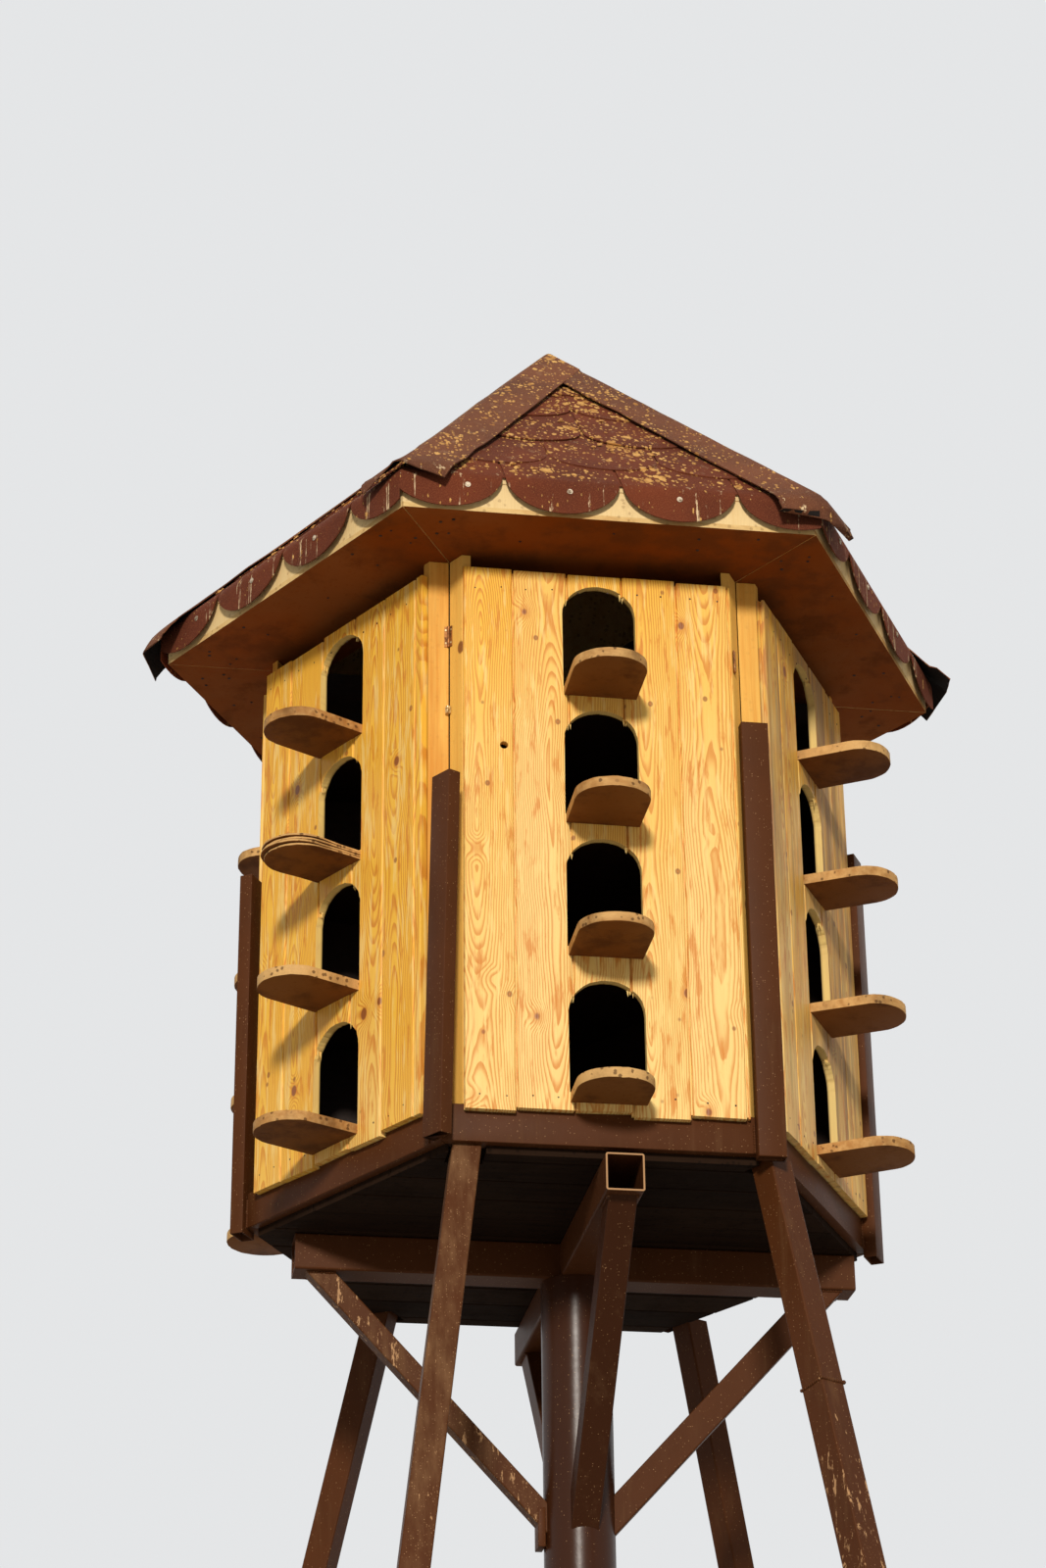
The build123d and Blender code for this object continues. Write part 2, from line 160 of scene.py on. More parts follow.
class Bench:
    """Modelling steps done with Blender's own tools."""

    @staticmethod
    def clear() -> None:
        """Leave edit mode and deselect everything."""
        if bpy.context.object is not None and bpy.context.object.mode != "OBJECT":
            bpy.ops.object.mode_set(mode="OBJECT")
        bpy.ops.object.select_all(action="DESELECT")

    @staticmethod
    def hold(pieces: Sequence[Piece]) -> None:
        """Select these pieces alone and make the first one active."""
        Bench.clear()
        for piece in pieces:
            piece.select_set(True)
        bpy.context.view_layer.objects.active = pieces[0]

    @staticmethod
    def settle(piece: Piece) -> Piece:
        """Apply a piece's place, turn and scale to its mesh.

        Args:
            piece: Piece to settle.

        Returns:
            The same piece.
        """
        Bench.hold([piece])
        bpy.ops.object.transform_apply(location=True, rotation=True, scale=True)
        return piece

    @staticmethod
    @contextmanager
    def edit(piece: Piece) -> Iterator[None]:
        """Edit mode on one piece, with nothing picked at first.

        Args:
            piece: Piece to shape.
        """
        Bench.hold([piece])
        bpy.ops.object.mode_set(mode="EDIT")
        bpy.ops.mesh.select_all(action="DESELECT")
        try:
            yield
        finally:
            bpy.ops.object.mode_set(mode="OBJECT")

    @staticmethod
    def pick(kind: Element, test: Test) -> int:
        """Pick mesh elements in edit mode by their place and direction.

        Args:
            kind: Kind of element.
            test: Takes the middle, and the normal or an edge's direction.

        Returns:
            The number of elements picked.
        """
        bpy.ops.mesh.select_mode(type=kind.value)
        bpy.ops.mesh.select_all(action="DESELECT")
        mesh = bmesh.from_edit_mesh(bpy.context.edit_object.data)
        count = 0
        if kind is Element.CORNER:
            found = [(part, part.co, part.normal) for part in mesh.verts]
        elif kind is Element.EDGE:
            found = []
            for part in mesh.edges:
                first, second = part.verts[0].co, part.verts[1].co
                found.append((part, (first + second) / 2, (second - first).normalized()))
        else:
            found = [(part, part.calc_center_median(), part.normal) for part in mesh.faces]
        for part, middle, direction in found:
            if test(middle, direction):
                part.select_set(True)
                count += 1
        mesh.select_flush_mode()
        bmesh.update_edit_mesh(bpy.context.edit_object.data)
        return count

    @staticmethod
    def block(name: str, low: Point, high: Point) -> Piece:
        """Rectangular block between two corners.

        Args:
            name: Name of the piece.
            low: Lowest corner.
            high: Highest corner.

        Returns:
            The new piece.
        """
        Bench.clear()
        middle = [(a + b) / 2 for a, b in zip(low, high)]
        bpy.ops.mesh.primitive_cube_add(size=1, location=middle)
        piece = bpy.context.object
        piece.name = name
        piece.scale = [b - a for a, b in zip(low, high)]
        return Bench.settle(piece)

    @staticmethod
    def rod(name: str, radius: float, length: float, place: Point, sides: int) -> Piece:
        """Upright round bar.

        Args:
            name: Name of the piece.
            radius: Radius of the bar.
            length: Length of the bar.
            place: Middle of the bar.
            sides: Number of flat sides that make it round.

        Returns:
            The new piece.
        """
        Bench.clear()
        bpy.ops.mesh.primitive_cylinder_add(
            vertices=sides, radius=radius, depth=length, location=place
        )
        piece = bpy.context.object
        piece.name = name
        return Bench.settle(piece)

    @staticmethod
    def arch(
        name: str, width: float, height: float, crown: float, depth: float, steps: int
    ) -> Piece:
        """Board with a round end, flat on the ground, its square end on the X axis.

        Args:
            name: Name of the piece.
            width: Width of the board.
            height: Length to the top of the round end, along +Y.
            crown: Length of the rounded part.
            depth: Thickness, upwards.
            steps: Number of steps in a quarter of the round end.

        Returns:
            The new piece.
        """
        Bench.clear()
        corner = width / 2 - 0.0004
        square = height - crown + corner
        bpy.ops.mesh.primitive_plane_add(size=1, location=(0, square / 2, 0))
        piece = bpy.context.object
        piece.name = name
        piece.scale = (width, square, 1)
        Bench.settle(piece)
        with Bench.edit(piece):
            Bench.pick(Element.CORNER, lambda at, _: at.y > square - 0.001)
            bpy.ops.mesh.bevel(offset=corner, segments=steps, affect="VERTICES", profile=0.5)
            spring = square - corner
            Bench.pick(Element.CORNER, lambda at, _: at.y > spring - 0.0001)
            bpy.ops.transform.resize(
                value=(1, crown / corner, 1), center_override=(0, spring, 0)
            )
            bpy.ops.mesh.select_all(action="SELECT")
            bpy.ops.mesh.remove_doubles(threshold=0.0005)
            bpy.ops.mesh.select_all(action="SELECT")
            bpy.ops.mesh.extrude_region_move(TRANSFORM_OT_translate={"value": (0, 0, depth)})
            bpy.ops.mesh.select_all(action="SELECT")
            bpy.ops.mesh.normals_make_consistent(inside=False)
        return piece

    @staticmethod
    def move(piece: Piece, place: Point, turn: Point = (0.0, 0.0, 0.0)) -> Piece:
        """Turn a piece about the origin, then move it.

        Args:
            piece: Piece to move.
            place: Movement.
            turn: Angles about X, Y and Z in radians.

        Returns:
            The same piece.
        """
        piece.rotation_euler = turn
        piece.location = place
        return Bench.settle(piece)

    @staticmethod
    def set_down(piece: Piece, side: Side) -> Piece:
        """Turn a piece made at the front to its side and move it to the house's axis."""
        return Bench.move(piece, (HOUSE.shift, 0, 0), (0, 0, side.turn))

    @staticmethod
    def copy(piece: Piece, name: str) -> Piece:
        """Copy of a piece with its own mesh."""
        twin = bpy.data.objects.new(name, piece.data.copy())
        bpy.context.scene.collection.objects.link(twin)
        return twin

    @staticmethod
    def drop(piece: Piece) -> None:
        """Throw a piece away."""
        bpy.data.objects.remove(piece)

    @staticmethod
    def join(pieces: Sequence[Piece], name: str) -> Piece:
        """Join several pieces into one.

        Args:
            pieces: Pieces to join.
            name: Name of the joined piece.

        Returns:
            The joined piece.
        """
        Bench.hold(pieces)
        if len(pieces) > 1:
            bpy.ops.object.join()
        pieces[0].name = name
        return pieces[0]

    @staticmethod
    def from_node(node: Piece, name: str) -> Piece:
        """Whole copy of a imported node, with its loose triangles merged.

        Args:
            node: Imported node.
            name: Name of the copy.

        Returns:
            The copy.
        """
        twin = Bench.copy(node, name)
        with Bench.edit(twin):
            bpy.ops.mesh.select_all(action="SELECT")
            bpy.ops.mesh.remove_doubles(threshold=0.00002)
            bpy.ops.mesh.dissolve_limited(angle_limit=math.radians(0.5))
        return twin

    @staticmethod
    def ease(piece: Piece, width: float, steps: int = 2, least: float = 40.0) -> Piece:
        """Round the sharp edges of a piece.

        Args:
            piece: Piece to ease.
            width: Width taken off each edge.
            steps: Number of steps in the rounding.
            least: Least angle of an edge that is rounded, in degrees.

        Returns:
            The same piece.
        """
        Bench.hold([piece])
        modifier = piece.modifiers.new("ease", "BEVEL")
        modifier.width = width
        modifier.segments = steps
        modifier.limit_method = "ANGLE"
        modifier.angle_limit = math.radians(least)
        modifier.use_clamp_overlap = True
        bpy.ops.object.modifier_apply(modifier="ease")
        return piece

    @staticmethod
    def cut(piece: Piece, cutter: Piece, operation: str = "DIFFERENCE") -> Piece:
        """Cut one piece with another.

        Args:
            piece: Piece to cut.
            cutter: Piece that cuts, which stays.
            operation: DIFFERENCE or INTERSECT.

        Returns:
            The piece that was cut.
        """
        Bench.hold([piece])
        modifier = piece.modifiers.new("cut", "BOOLEAN")
        modifier.operation = operation
        modifier.solver = "EXACT"
        modifier.object = cutter
        bpy.ops.object.modifier_apply(modifier="cut")
        return piece

    @staticmethod
    def trim(piece: Piece, place: Point, outward: Point) -> Piece:
        """Saw a piece through on a plane and close the cut.

        Args:
            piece: Piece to saw.
            place: Point on the plane.
            outward: Direction of the part that falls off.

        Returns:
            The same piece.
        """
        with Bench.edit(piece):
            bpy.ops.mesh.select_all(action="SELECT")
            bpy.ops.mesh.bisect(
                plane_co=place, plane_no=outward, use_fill=True, clear_outer=True
            )
        return piece

    @staticmethod
    def score(piece: Piece, places: Sequence[Point], across: Point) -> Piece:
        """Cut a mesh along planes without parting it, so that it can bend there.

        Args:
            piece: Piece to score.
            places: A point on each plane.
            across: Normal of the planes.

        Returns:
            The same piece.
        """
        with Bench.edit(piece):
            for place in places:
                bpy.ops.mesh.select_all(action="SELECT")
                bpy.ops.mesh.bisect(plane_co=place, plane_no=across)
        return piece

    @staticmethod
    def bend(piece: Piece, axis: str, angle: float, at: Point) -> None:
        """Turn what is picked in edit mode about a line, by the right-hand rule.

        Args:
            piece: Piece that is being edited; not used.
            axis: X, Y or Z.
            angle: Angle in radians.
            at: Point on the line.
        """
        bpy.ops.transform.rotate(value=-angle, orient_axis=axis, center_override=at)

    @staticmethod
    def weld(name: str, start: Point, end: Point, radius: float, seed: int) -> Piece:
        """Row of overlapping beads between two points, as a weld leaves them.

        Args:
            name: Name of the piece.
            start: First end of the weld.
            end: Other end.
            radius: Radius of a bead.
            seed: Seed of its unevenness.

        Returns:
            The weld.
        """
        chance = random.Random(seed)
        first, last = Vector(start), Vector(end)
        count = max(2, int((last - first).length / (radius * 1.3)))
        beads = []
        for number in range(count + 1):
            spot = first.lerp(last, number / count)
            Bench.clear()
            bpy.ops.mesh.primitive_uv_sphere_add(
                segments=7, ring_count=5, radius=radius * chance.uniform(0.8, 1.15), location=spot
            )
            beads.append(Bench.settle(bpy.context.object))
        return Bench.join(beads, name)

    @staticmethod
    def roughen(piece: Piece, amount: float, seed: int) -> Piece:
        """Move every corner of a mesh by a small random amount.

        Args:
            piece: Piece to roughen.
            amount: Largest movement.
            seed: Seed of the random numbers.

        Returns:
            The same piece.
        """
        with Bench.edit(piece):
            bpy.ops.mesh.select_all(action="SELECT")
            bpy.ops.transform.vertex_random(offset=amount, uniform=1.0, seed=seed)
        return piece

    @staticmethod
    def mark(piece: Piece, label: str, rule: Callable[[Vector], float]) -> Piece:
        """Give every face a number that the finish reads.

        Args:
            piece: Piece to mark.
            label: Name of the numbers.
            rule: Takes a face's middle and gives its number.

        Returns:
            The same piece.
        """
        mesh = piece.data
        layer = mesh.attributes.get(label) or mesh.attributes.new(label, "FLOAT", "FACE")
        layer.data.foreach_set("value", [rule(face.center) for face in mesh.polygons])
        return piece

    @staticmethod
    def smooth(piece: Piece, angle: float = 35.0) -> Piece:
        """Shade a piece smooth, apart from edges sharper than an angle in degrees."""
        Bench.hold([piece])
        bpy.ops.object.shade_smooth_by_angle(angle=math.radians(angle))
        return piece

    @staticmethod
    def hand_over(
        piece: Piece, finish: bpy.types.Material, slot: str, nodes: Sequence[str] = ()
    ) -> Piece:
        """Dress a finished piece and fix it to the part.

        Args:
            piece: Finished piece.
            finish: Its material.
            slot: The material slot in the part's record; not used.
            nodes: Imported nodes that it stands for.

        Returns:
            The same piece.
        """
        piece.data.materials.clear()
        piece.data.materials.append(finish)
        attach(piece, "root")
        if nodes:
            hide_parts(*nodes)
        LOG.info("%s: %d faces", piece.name, len(piece.data.polygons))
        return piece


class Term:
    """A socket in an expression, whose arithmetic adds Math nodes."""

    def __init__(self, recipe: "Recipe", socket: bpy.types.NodeSocket) -> None:
        """Wrap a socket.

        Args:
            recipe: Recipe that the socket belongs to.
            socket: Output socket.
        """
        self.recipe = recipe
        self.socket = socket

    def reckon(self, operation: str, *values: "Value") -> "Term":
        """Result of a Math node on this and other values."""
        sockets = dict(enumerate((self,) + values))
        return self.recipe.take("ShaderNodeMath", {"operation": operation}, sockets)

    def __add__(self, other: "Value") -> "Term":
        """Sum."""
        return self.reckon("ADD", other)

    def __radd__(self, other: "Value") -> "Term":
        """Sum with a number in front."""
        return self.reckon("ADD", other)

    def __sub__(self, other: "Value") -> "Term":
        """Difference."""
        return self.reckon("SUBTRACT", other)

    def __rsub__(self, other: "Value") -> "Term":
        """Difference from a number in front."""
        sockets = {0: other, 1: self}
        return self.recipe.take("ShaderNodeMath", {"operation": "SUBTRACT"}, sockets)

    def __mul__(self, other: "Value") -> "Term":
        """Product."""
        return self.reckon("MULTIPLY", other)

    def __rmul__(self, other: "Value") -> "Term":
        """Product with a number in front."""
        return self.reckon("MULTIPLY", other)

    def __pow__(self, other: "Value") -> "Term":
        """Power."""
        return self.reckon("POWER", other)


Value = Union[Term, float]


class Recipe:
    """A material under construction."""

    def __init__(self, name: str) -> None:
        """Start an empty material.

        Args:
            name: Name of the material.
        """
        self.material = bpy.data.materials.new(name)
        self.material.use_nodes = True
        self.tree = self.material.node_tree
        self.tree.nodes.clear()

    def node(self, kind: str, settings: Dict, sockets: Dict) -> bpy.types.Node:
        """New node with its settings, values and links.

        Args:
            kind: Blender's name for the type of node.
            settings: Values of the node's own settings; stops are a ramp's stops.
            sockets: Values or terms by the name or number of the input.

        Returns:
            The node.
        """
        made = self.tree.nodes.new(kind)
        for key, value in settings.items():
            if key == "stops":
                elements = made.color_ramp.elements
                while len(elements) < len(value):
                    elements.new(0.5)
                for element, (position, colour) in zip(elements, value):
                    element.position = position
                    element.color = colour
            else:
                setattr(made, key, value)
        for key, value in sockets.items():
            if isinstance(value, Term):
                self.tree.links.new(value.socket, made.inputs[key])
            else:
                made.inputs[key].default_value = value
        return made

    def take(self, kind: str, settings: Dict, sockets: Dict, output: int = 0) -> Term:
        """One output of a new node, as a term."""
        return Term(self, self.node(kind, settings, sockets).outputs[output])

    def place(self, side: Optional[Side] = None) -> Term:
        """Place on the object, in metres.

        Args:
            side: Side of the house to see it from, with X across and Z from the
                boards' lower edge. With none, the place is in the part's frame.

        Returns:
            The place as a vector.
        """
        raw = self.take("ShaderNodeTexCoord", {}, {}, 3)
        if side is None:
            return raw
        back = Matrix.Rotation(-side.turn, 3, "Z")
        shift = back @ Vector((-HOUSE.shift, 0, 0))
        sockets = {
            "Vector": raw,
            "Location": (shift.x, shift.y, -HOUSE.base),
            "Rotation": (0, 0, -side.turn),
        }
        return self.take("ShaderNodeMapping", {"vector_type": "POINT"}, sockets)

    def stretch(self, vector: Term, scale: Point, seed: Value = 0.0) -> Term:
        """Vector scaled along each axis and moved on by a seed."""
        settings = {"operation": "MULTIPLY"}
        scaled = self.take("ShaderNodeVectorMath", settings, {0: vector, 1: scale})
        if not isinstance(seed, Term):
            return scaled
        moved = self.join(seed * 37.0, seed * 11.0, seed * 53.0)
        return self.take("ShaderNodeVectorMath", {"operation": "ADD"}, {0: scaled, 1: moved})

    def join(self, x: Value, y: Value, z: Value) -> Term:
        """Vector of three values."""
        return self.take("ShaderNodeCombineXYZ", {}, {0: x, 1: y, 2: z})

    def part(self, vector: Term, axis: int) -> Term:
        """One part of a vector."""
        return self.take("ShaderNodeSeparateXYZ", {}, {0: vector}, axis)

    def label(self, name: str) -> Term:
        """Number that the faces carry."""
        return self.take("ShaderNodeAttribute", {"attribute_name": name}, {}, 2)

    def noise(self, vector: Term, scale: float, detail: float = 3.0, rough: float = 0.5) -> Term:
        """Smooth noise from 0 to 1."""
        sockets = {"Vector": vector, "Scale": scale, "Detail": detail, "Roughness": rough}
        return self.take("ShaderNodeTexNoise", {}, sockets)

    def cells(self, vector: Term, scale: float) -> Tuple[Term, Term]:
        """Distance to the nearest of many scattered spots, and that spot's random number."""
        made = self.node("ShaderNodeTexVoronoi", {}, {"Vector": vector, "Scale": scale})
        chance = self.take("ShaderNodeSeparateColor", {}, {0: Term(self, made.outputs[1])})
        return Term(self, made.outputs[0]), chance

    def step(self, value: Term, low: float, high: float) -> Term:
        """Smooth step from 0 at low to 1 at high; low may be the larger."""
        sockets = {"Value": value, "From Min": low, "From Max": high}
        settings = {"interpolation_type": "SMOOTHSTEP"}
        if low < high:
            return self.take("ShaderNodeMapRange", settings, sockets)
        sockets = {"Value": value, "From Min": high, "From Max": low}
        return 1.0 - self.take("ShaderNodeMapRange", settings, sockets)

    def blend(self, share: Value, first: Union[Term, Colour], second: Union[Term, Colour]) -> Term:
        """Colour between two colours."""
        sockets = {0: share, 6: first, 7: second}
        return self.take("ShaderNodeMix", {"data_type": "RGBA"}, sockets, 2)

    def ramp(self, value: Term, stops: Sequence[Tuple[float, Colour]]) -> Term:
        """Colour from a ramp."""
        return self.take("ShaderNodeValToRGB", {"stops": stops}, {0: value})

    def normal(self) -> Term:
        """Direction that the surface faces."""
        return self.take("ShaderNodeNewGeometry", {}, {}, 1)

    def bake(
        self,
        colour: Union[Term, Colour],
        rough: Value,
        bump: Optional[Term] = None,
        depth: float = 0.001,
        metal: Value = 0.0,
        coat: float = 0.0,
        shine: float = 0.5,
    ) -> bpy.types.Material:
        """Finish the material.

        Args:
            colour: Base colour.
            rough: Roughness.
            bump: Height of the surface, from 0 to 1.
            depth: Depth of the bump in metres.
            metal: Share of bare metal.
            coat: Weight of a clear coat.
            shine: Strength of the reflection, with 0.5 as the usual.

        Returns:
            The material.
        """
        sockets = {"Base Color": colour, "Roughness": rough, "Metallic": metal}
        sockets["Coat Weight"] = coat
        sockets["Specular IOR Level"] = shine
        if bump is not None:
            height = {"Height": bump, "Distance": depth, "Strength": 1.0}
            sockets["Normal"] = self.take("ShaderNodeBump", {}, height)
        shader = self.take("ShaderNodeBsdfPrincipled", {}, sockets)
        self.node("ShaderNodeOutputMaterial", {}, {"Surface": shader})
        return self.material


@dataclass(frozen=True)
class Pine:
    """Pine boards of a wall, seen from its side."""

    side: Side
    weather: float = 0.0
    deep: float = 0.0
    cream: Colour = paint(250, 217, 136)
    honey: Colour = paint(250, 196, 68)
    orange: Colour = paint(212, 128, 38)
    knot: Colour = paint(140, 76, 34)
    grey: Colour = paint(128, 104, 92)
    # Painted shade for the backs of the boards, inside the house
    dark: Colour = paint(30, 18, 10)

    def dress(self, name: str) -> bpy.types.Material:
        """Build the material.

        Args:
            name: Name of the material.

        Returns:
            The material.
        """
        mix = Recipe(name)
        place = mix.place(self.side)
        seed = mix.label("board")
        across = mix.part(place, 0) - mix.label("middle")
        depth = mix.part(place, 1)
        level = mix.part(place, 2)
        # Knots: a few to a board, with the grain running round them
        flat = mix.join(across, seed * 7.0, level * 0.72)
        far, chance = mix.cells(flat, 10.5)
        size = chance * 0.07 + 0.035
        knot = mix.step(far - size, 0.02, -0.012) * mix.step(chance, 0.42, 0.5)
        halo = mix.step(far, 0.36, 0.04) * mix.step(chance, 0.42, 0.5)
        # Year rings: arches where the heart of the tree comes near the face
        sway = mix.noise(mix.stretch(place, (2.0, 2.0, 2.6), seed), 1.0, 2.0)
        heart = (mix.noise(mix.stretch(place, (0.2, 0.2, 1.3), seed), 1.0, 1.0) - 0.42) * 0.19
        off = across + (sway - 0.5) * 0.05 + (seed - 0.5) * 0.05
        ring = (off * off + heart * heart) ** 0.5
        ripple = mix.noise(mix.stretch(place, (24.0, 24.0, 5.0), seed), 1.0, 3.0)
        count = ring * 205.0 + ripple * 1.5 + halo * 3.4
        late = mix.take("ShaderNodeMath", {"operation": "FRACT"}, {0: count})
        line = mix.step(late, 0.35, 0.86) * mix.step(late, 1.0, 0.93)
        fibre = mix.noise(mix.stretch(place, (420.0, 420.0, 9.0), seed), 1.0, 2.0)
        # Colour: paler low down and deeper near the top, different on each board
        tone = mix.noise(mix.stretch(place, (3.0, 3.0, 1.6), seed), 1.0, 2.0)
        share = level * 0.62 + (seed - 0.5) * 0.4 + (tone - 0.5) * 0.9 - 0.05 + self.deep
        ground = mix.blend(mix.step(share, 0.0, 1.0), self.cream, self.honey)
        lined = mix.blend(line * (0.42 + tone * 0.6), ground, self.orange)
        grained = mix.blend(fibre * 0.22, lined, self.orange)
        # Resin streaks and bleached streaks, short and along the grain
        resin = mix.noise(mix.stretch(place, (62.0, 62.0, 9.0), seed), 1.0, 4.0, 0.62)
        grained = mix.blend(mix.step(resin, 0.54, 0.66) * 0.75, grained, self.orange)
        pale = mix.noise(mix.stretch(place, (80.0, 80.0, 7.0), seed * 3.0), 1.0, 3.0, 0.6)
        grained = mix.blend(mix.step(pale, 0.53, 0.64) * 0.6, grained, self.cream)
        knotted = mix.blend(mix.step(halo, 0.45, 1.0) * 0.55, grained, self.orange)
        knotted = mix.blend(knot * 0.92, knotted, self.knot)
        # Pin knots, with a dark ring round a paler middle
        near, odds = mix.cells(mix.join(across, seed * 5.0, level * 0.8), 21.0)
        pin = mix.step(near, 0.15, 0.09) * mix.step(odds, 0.62, 0.66)
        core = mix.step(near, 0.07, 0.03) * pin
        knotted = mix.blend(pin * 0.75, knotted, self.knot)
        knotted = mix.blend(core * 0.6, knotted, self.orange)
        # Weather: grey streaks that follow the grain
        streak = mix.noise(mix.stretch(place, (34.0, 34.0, 1.7), seed), 1.0, 4.0, 0.6)
        patch = mix.noise(mix.stretch(place, (2.4, 2.4, 1.3)), 1.0, 3.0)
        worn = mix.step(streak * 0.6 + patch * 0.7, 0.92 - self.weather * 0.5, 1.12 - self.weather * 0.4)
        aged = mix.blend(worn * (0.12 + 0.8 * self.weather), knotted, self.grey)
        raw = mix.blend(mix.label("raw"), aged, self.cream)
        # Painted shade: the backs of the boards, inside the house, are coloured near black
        inside = mix.step(depth, -HOUSE.frame - 0.006, -HOUSE.frame + 0.004)
        colour = mix.blend(inside, raw, self.dark)
        height = fibre * 0.5 - line * 0.35 - worn * 0.3 + knot * 0.4
        rough = 0.52 + worn * 0.25 - knot * 0.12
        return mix.bake(colour, rough, height, 0.0007, shine=0.35)


@dataclass(frozen=True)
class Timber:
    """Small weathered or sheltered timber, with its grain along one axis."""

    light: Colour
    deep: Colour
    stain: Colour
    grain: Point = (60.0, 60.0, 4.0)
    dirt: float = 0.3
    knots: float = 0.0
    # Colour painted on the faces that look down, as their shade
    under: Optional[Colour] = None
    rough: float = 0.62
    shine: float = 0.3

    def dress(self, name: str, side: Optional[Side] = None) -> bpy.types.Material:
        """Build the material.

        Args:
            name: Name of the material.
            side: Side of the house that the pieces are on, if they are on one.

        Returns:
            The material.
        """
        mix = Recipe(name)
        place = mix.place(side)
        seed = mix.label("board")
        line = mix.noise(mix.stretch(place, self.grain, seed), 1.0, 4.0, 0.6)
        thin = tuple(value * 6.0 for value in self.grain)
        fibre = mix.noise(mix.stretch(place, thin, seed), 1.0, 2.0)
        tone = mix.noise(mix.stretch(place, (2.2, 2.2, 2.2), seed), 1.0, 3.0)
        share = mix.step(line * 0.9 + (seed - 0.5) * 0.4 + (tone - 0.5) * 0.6, 0.25, 0.8)
        colour = mix.blend(share, self.light, self.deep)
        colour = mix.blend(fibre * 0.25, colour, self.stain)
        if self.knots > 0:
            far, chance = mix.cells(mix.stretch(place, (14.0, 14.0, 9.0), seed), 1.0)
            shown = mix.step(chance, 1.0 - self.knots, 1.02 - self.knots)
            knot = mix.step(far, 0.17, 0.11) * shown
            colour = mix.blend(knot * 0.9, colour, self.stain)
        ragged = mix.noise(place, 150.0, 3.0, 0.7)
        speck, odds = mix.cells(place, 85.0)
        mould = mix.step(speck + (ragged - 0.5) * 0.5, 0.42, 0.26) * mix.step(odds, 0.66, 0.7)
        grime = mix.noise(mix.stretch(place, (11.0, 11.0, 7.0)), 1.0, 5.0, 0.65)
        dirt = mix.step(grime, 0.62 - self.dirt * 0.25, 0.78)
        colour = mix.blend(dirt * self.dirt * 0.8, colour, self.stain)
        colour = mix.blend(mould * self.dirt * 0.9, colour, self.stain)
        # Painted shade: faces that look down take the under colour, with darker blotches of stain in it,
        # as the shade on the undersides
        if self.under is not None:
            below = mix.step(mix.part(mix.normal(), 2), -0.5, -0.9)
            colour = mix.blend(below * (0.88 + tone * 0.2), colour, self.under)
            under_shade_blotch = mix.step(grime + (tone - 0.5) * 0.6, 0.44, 0.66)
            colour = mix.blend(below * under_shade_blotch * 0.6, colour, self.stain)
        height = line * 0.5 + fibre * 0.4 - mould * 0.3
        return mix.bake(colour, self.rough + dirt * 0.15, height, 0.0006, shine=self.shine)


@dataclass(frozen=True)
class Steel:
    """Dark brown paint on steel, with dust, scuffs and rust."""

    dust: float = 0.4
    rust: float = 0.3
    wear: float = 0.1
    gloss: float = 0.46
    shine: float = 0.09
    worn_below: float = 9.0
    cut_end: Optional[float] = None
    coat: Colour = paint(90, 50, 24)
    shade: Colour = paint(61, 33, 15)
    pale: Colour = paint(196, 152, 108)
    orange: Colour = paint(150, 78, 30)

    def dress(self, name: str) -> bpy.types.Material:
        """Build the material.

        Args:
            name: Name of the material.

        Returns:
            The material.
        """
        mix = Recipe(name)
        place = mix.place()
        cloud = mix.noise(place, 6.0, 5.0, 0.6)
        fine = mix.noise(place, 60.0, 4.0, 0.6)
        colour = mix.blend(cloud * 0.8, self.coat, self.shade)
        drip = mix.noise(mix.stretch(place, (38.0, 38.0, 3.0)), 1.0, 4.0, 0.65)
        film = mix.step(drip * 0.6 + cloud * 0.6, 0.70 - self.dust * 0.2, 1.05)
        colour = mix.blend(film * self.dust * 0.4, colour, self.pale)
        speck, odds = mix.cells(place, 230.0)
        dot = mix.step(speck, 0.26, 0.14) * mix.step(odds, 1.0 - self.dust * 0.6, 1.0)
        colour = mix.blend(dot * 0.7, colour, self.pale)
        level = mix.part(place, 2)
        scuff = mix.noise(mix.stretch(place, (74.0, 74.0, 15.0)), 1.0, 5.0, 0.72)
        most = self.wear * mix.step(level, self.worn_below, self.worn_below - 0.35)
        worn = mix.step(scuff * 0.8 + fine * 0.25 + most * 0.22, 0.72, 0.76)
        colour = mix.blend(worn * 0.85, colour, self.pale)
        spread = fine * 0.6 + cloud * 0.5 + mix.step(level, 0.5, 0.0) * 0.25
        rusty = mix.step(spread + worn * 0.08, 0.82 - self.rust * 0.18, 0.94 - self.rust * 0.12)
        colour = mix.blend(rusty * 0.8, colour, self.orange)
        if self.cut_end is not None:
            bare = mix.step(mix.part(place, 1), self.cut_end + 0.0012, self.cut_end)
            colour = mix.blend(bare * 0.8, colour, self.pale)
        rough = self.gloss + film * 0.2 + rusty * 0.35 + fine * 0.08
        height = fine * 0.5 + rusty * 0.5 + cloud * 0.2 - worn * 0.3
        return mix.bake(colour, rough, height, 0.0005, shine=self.shine)


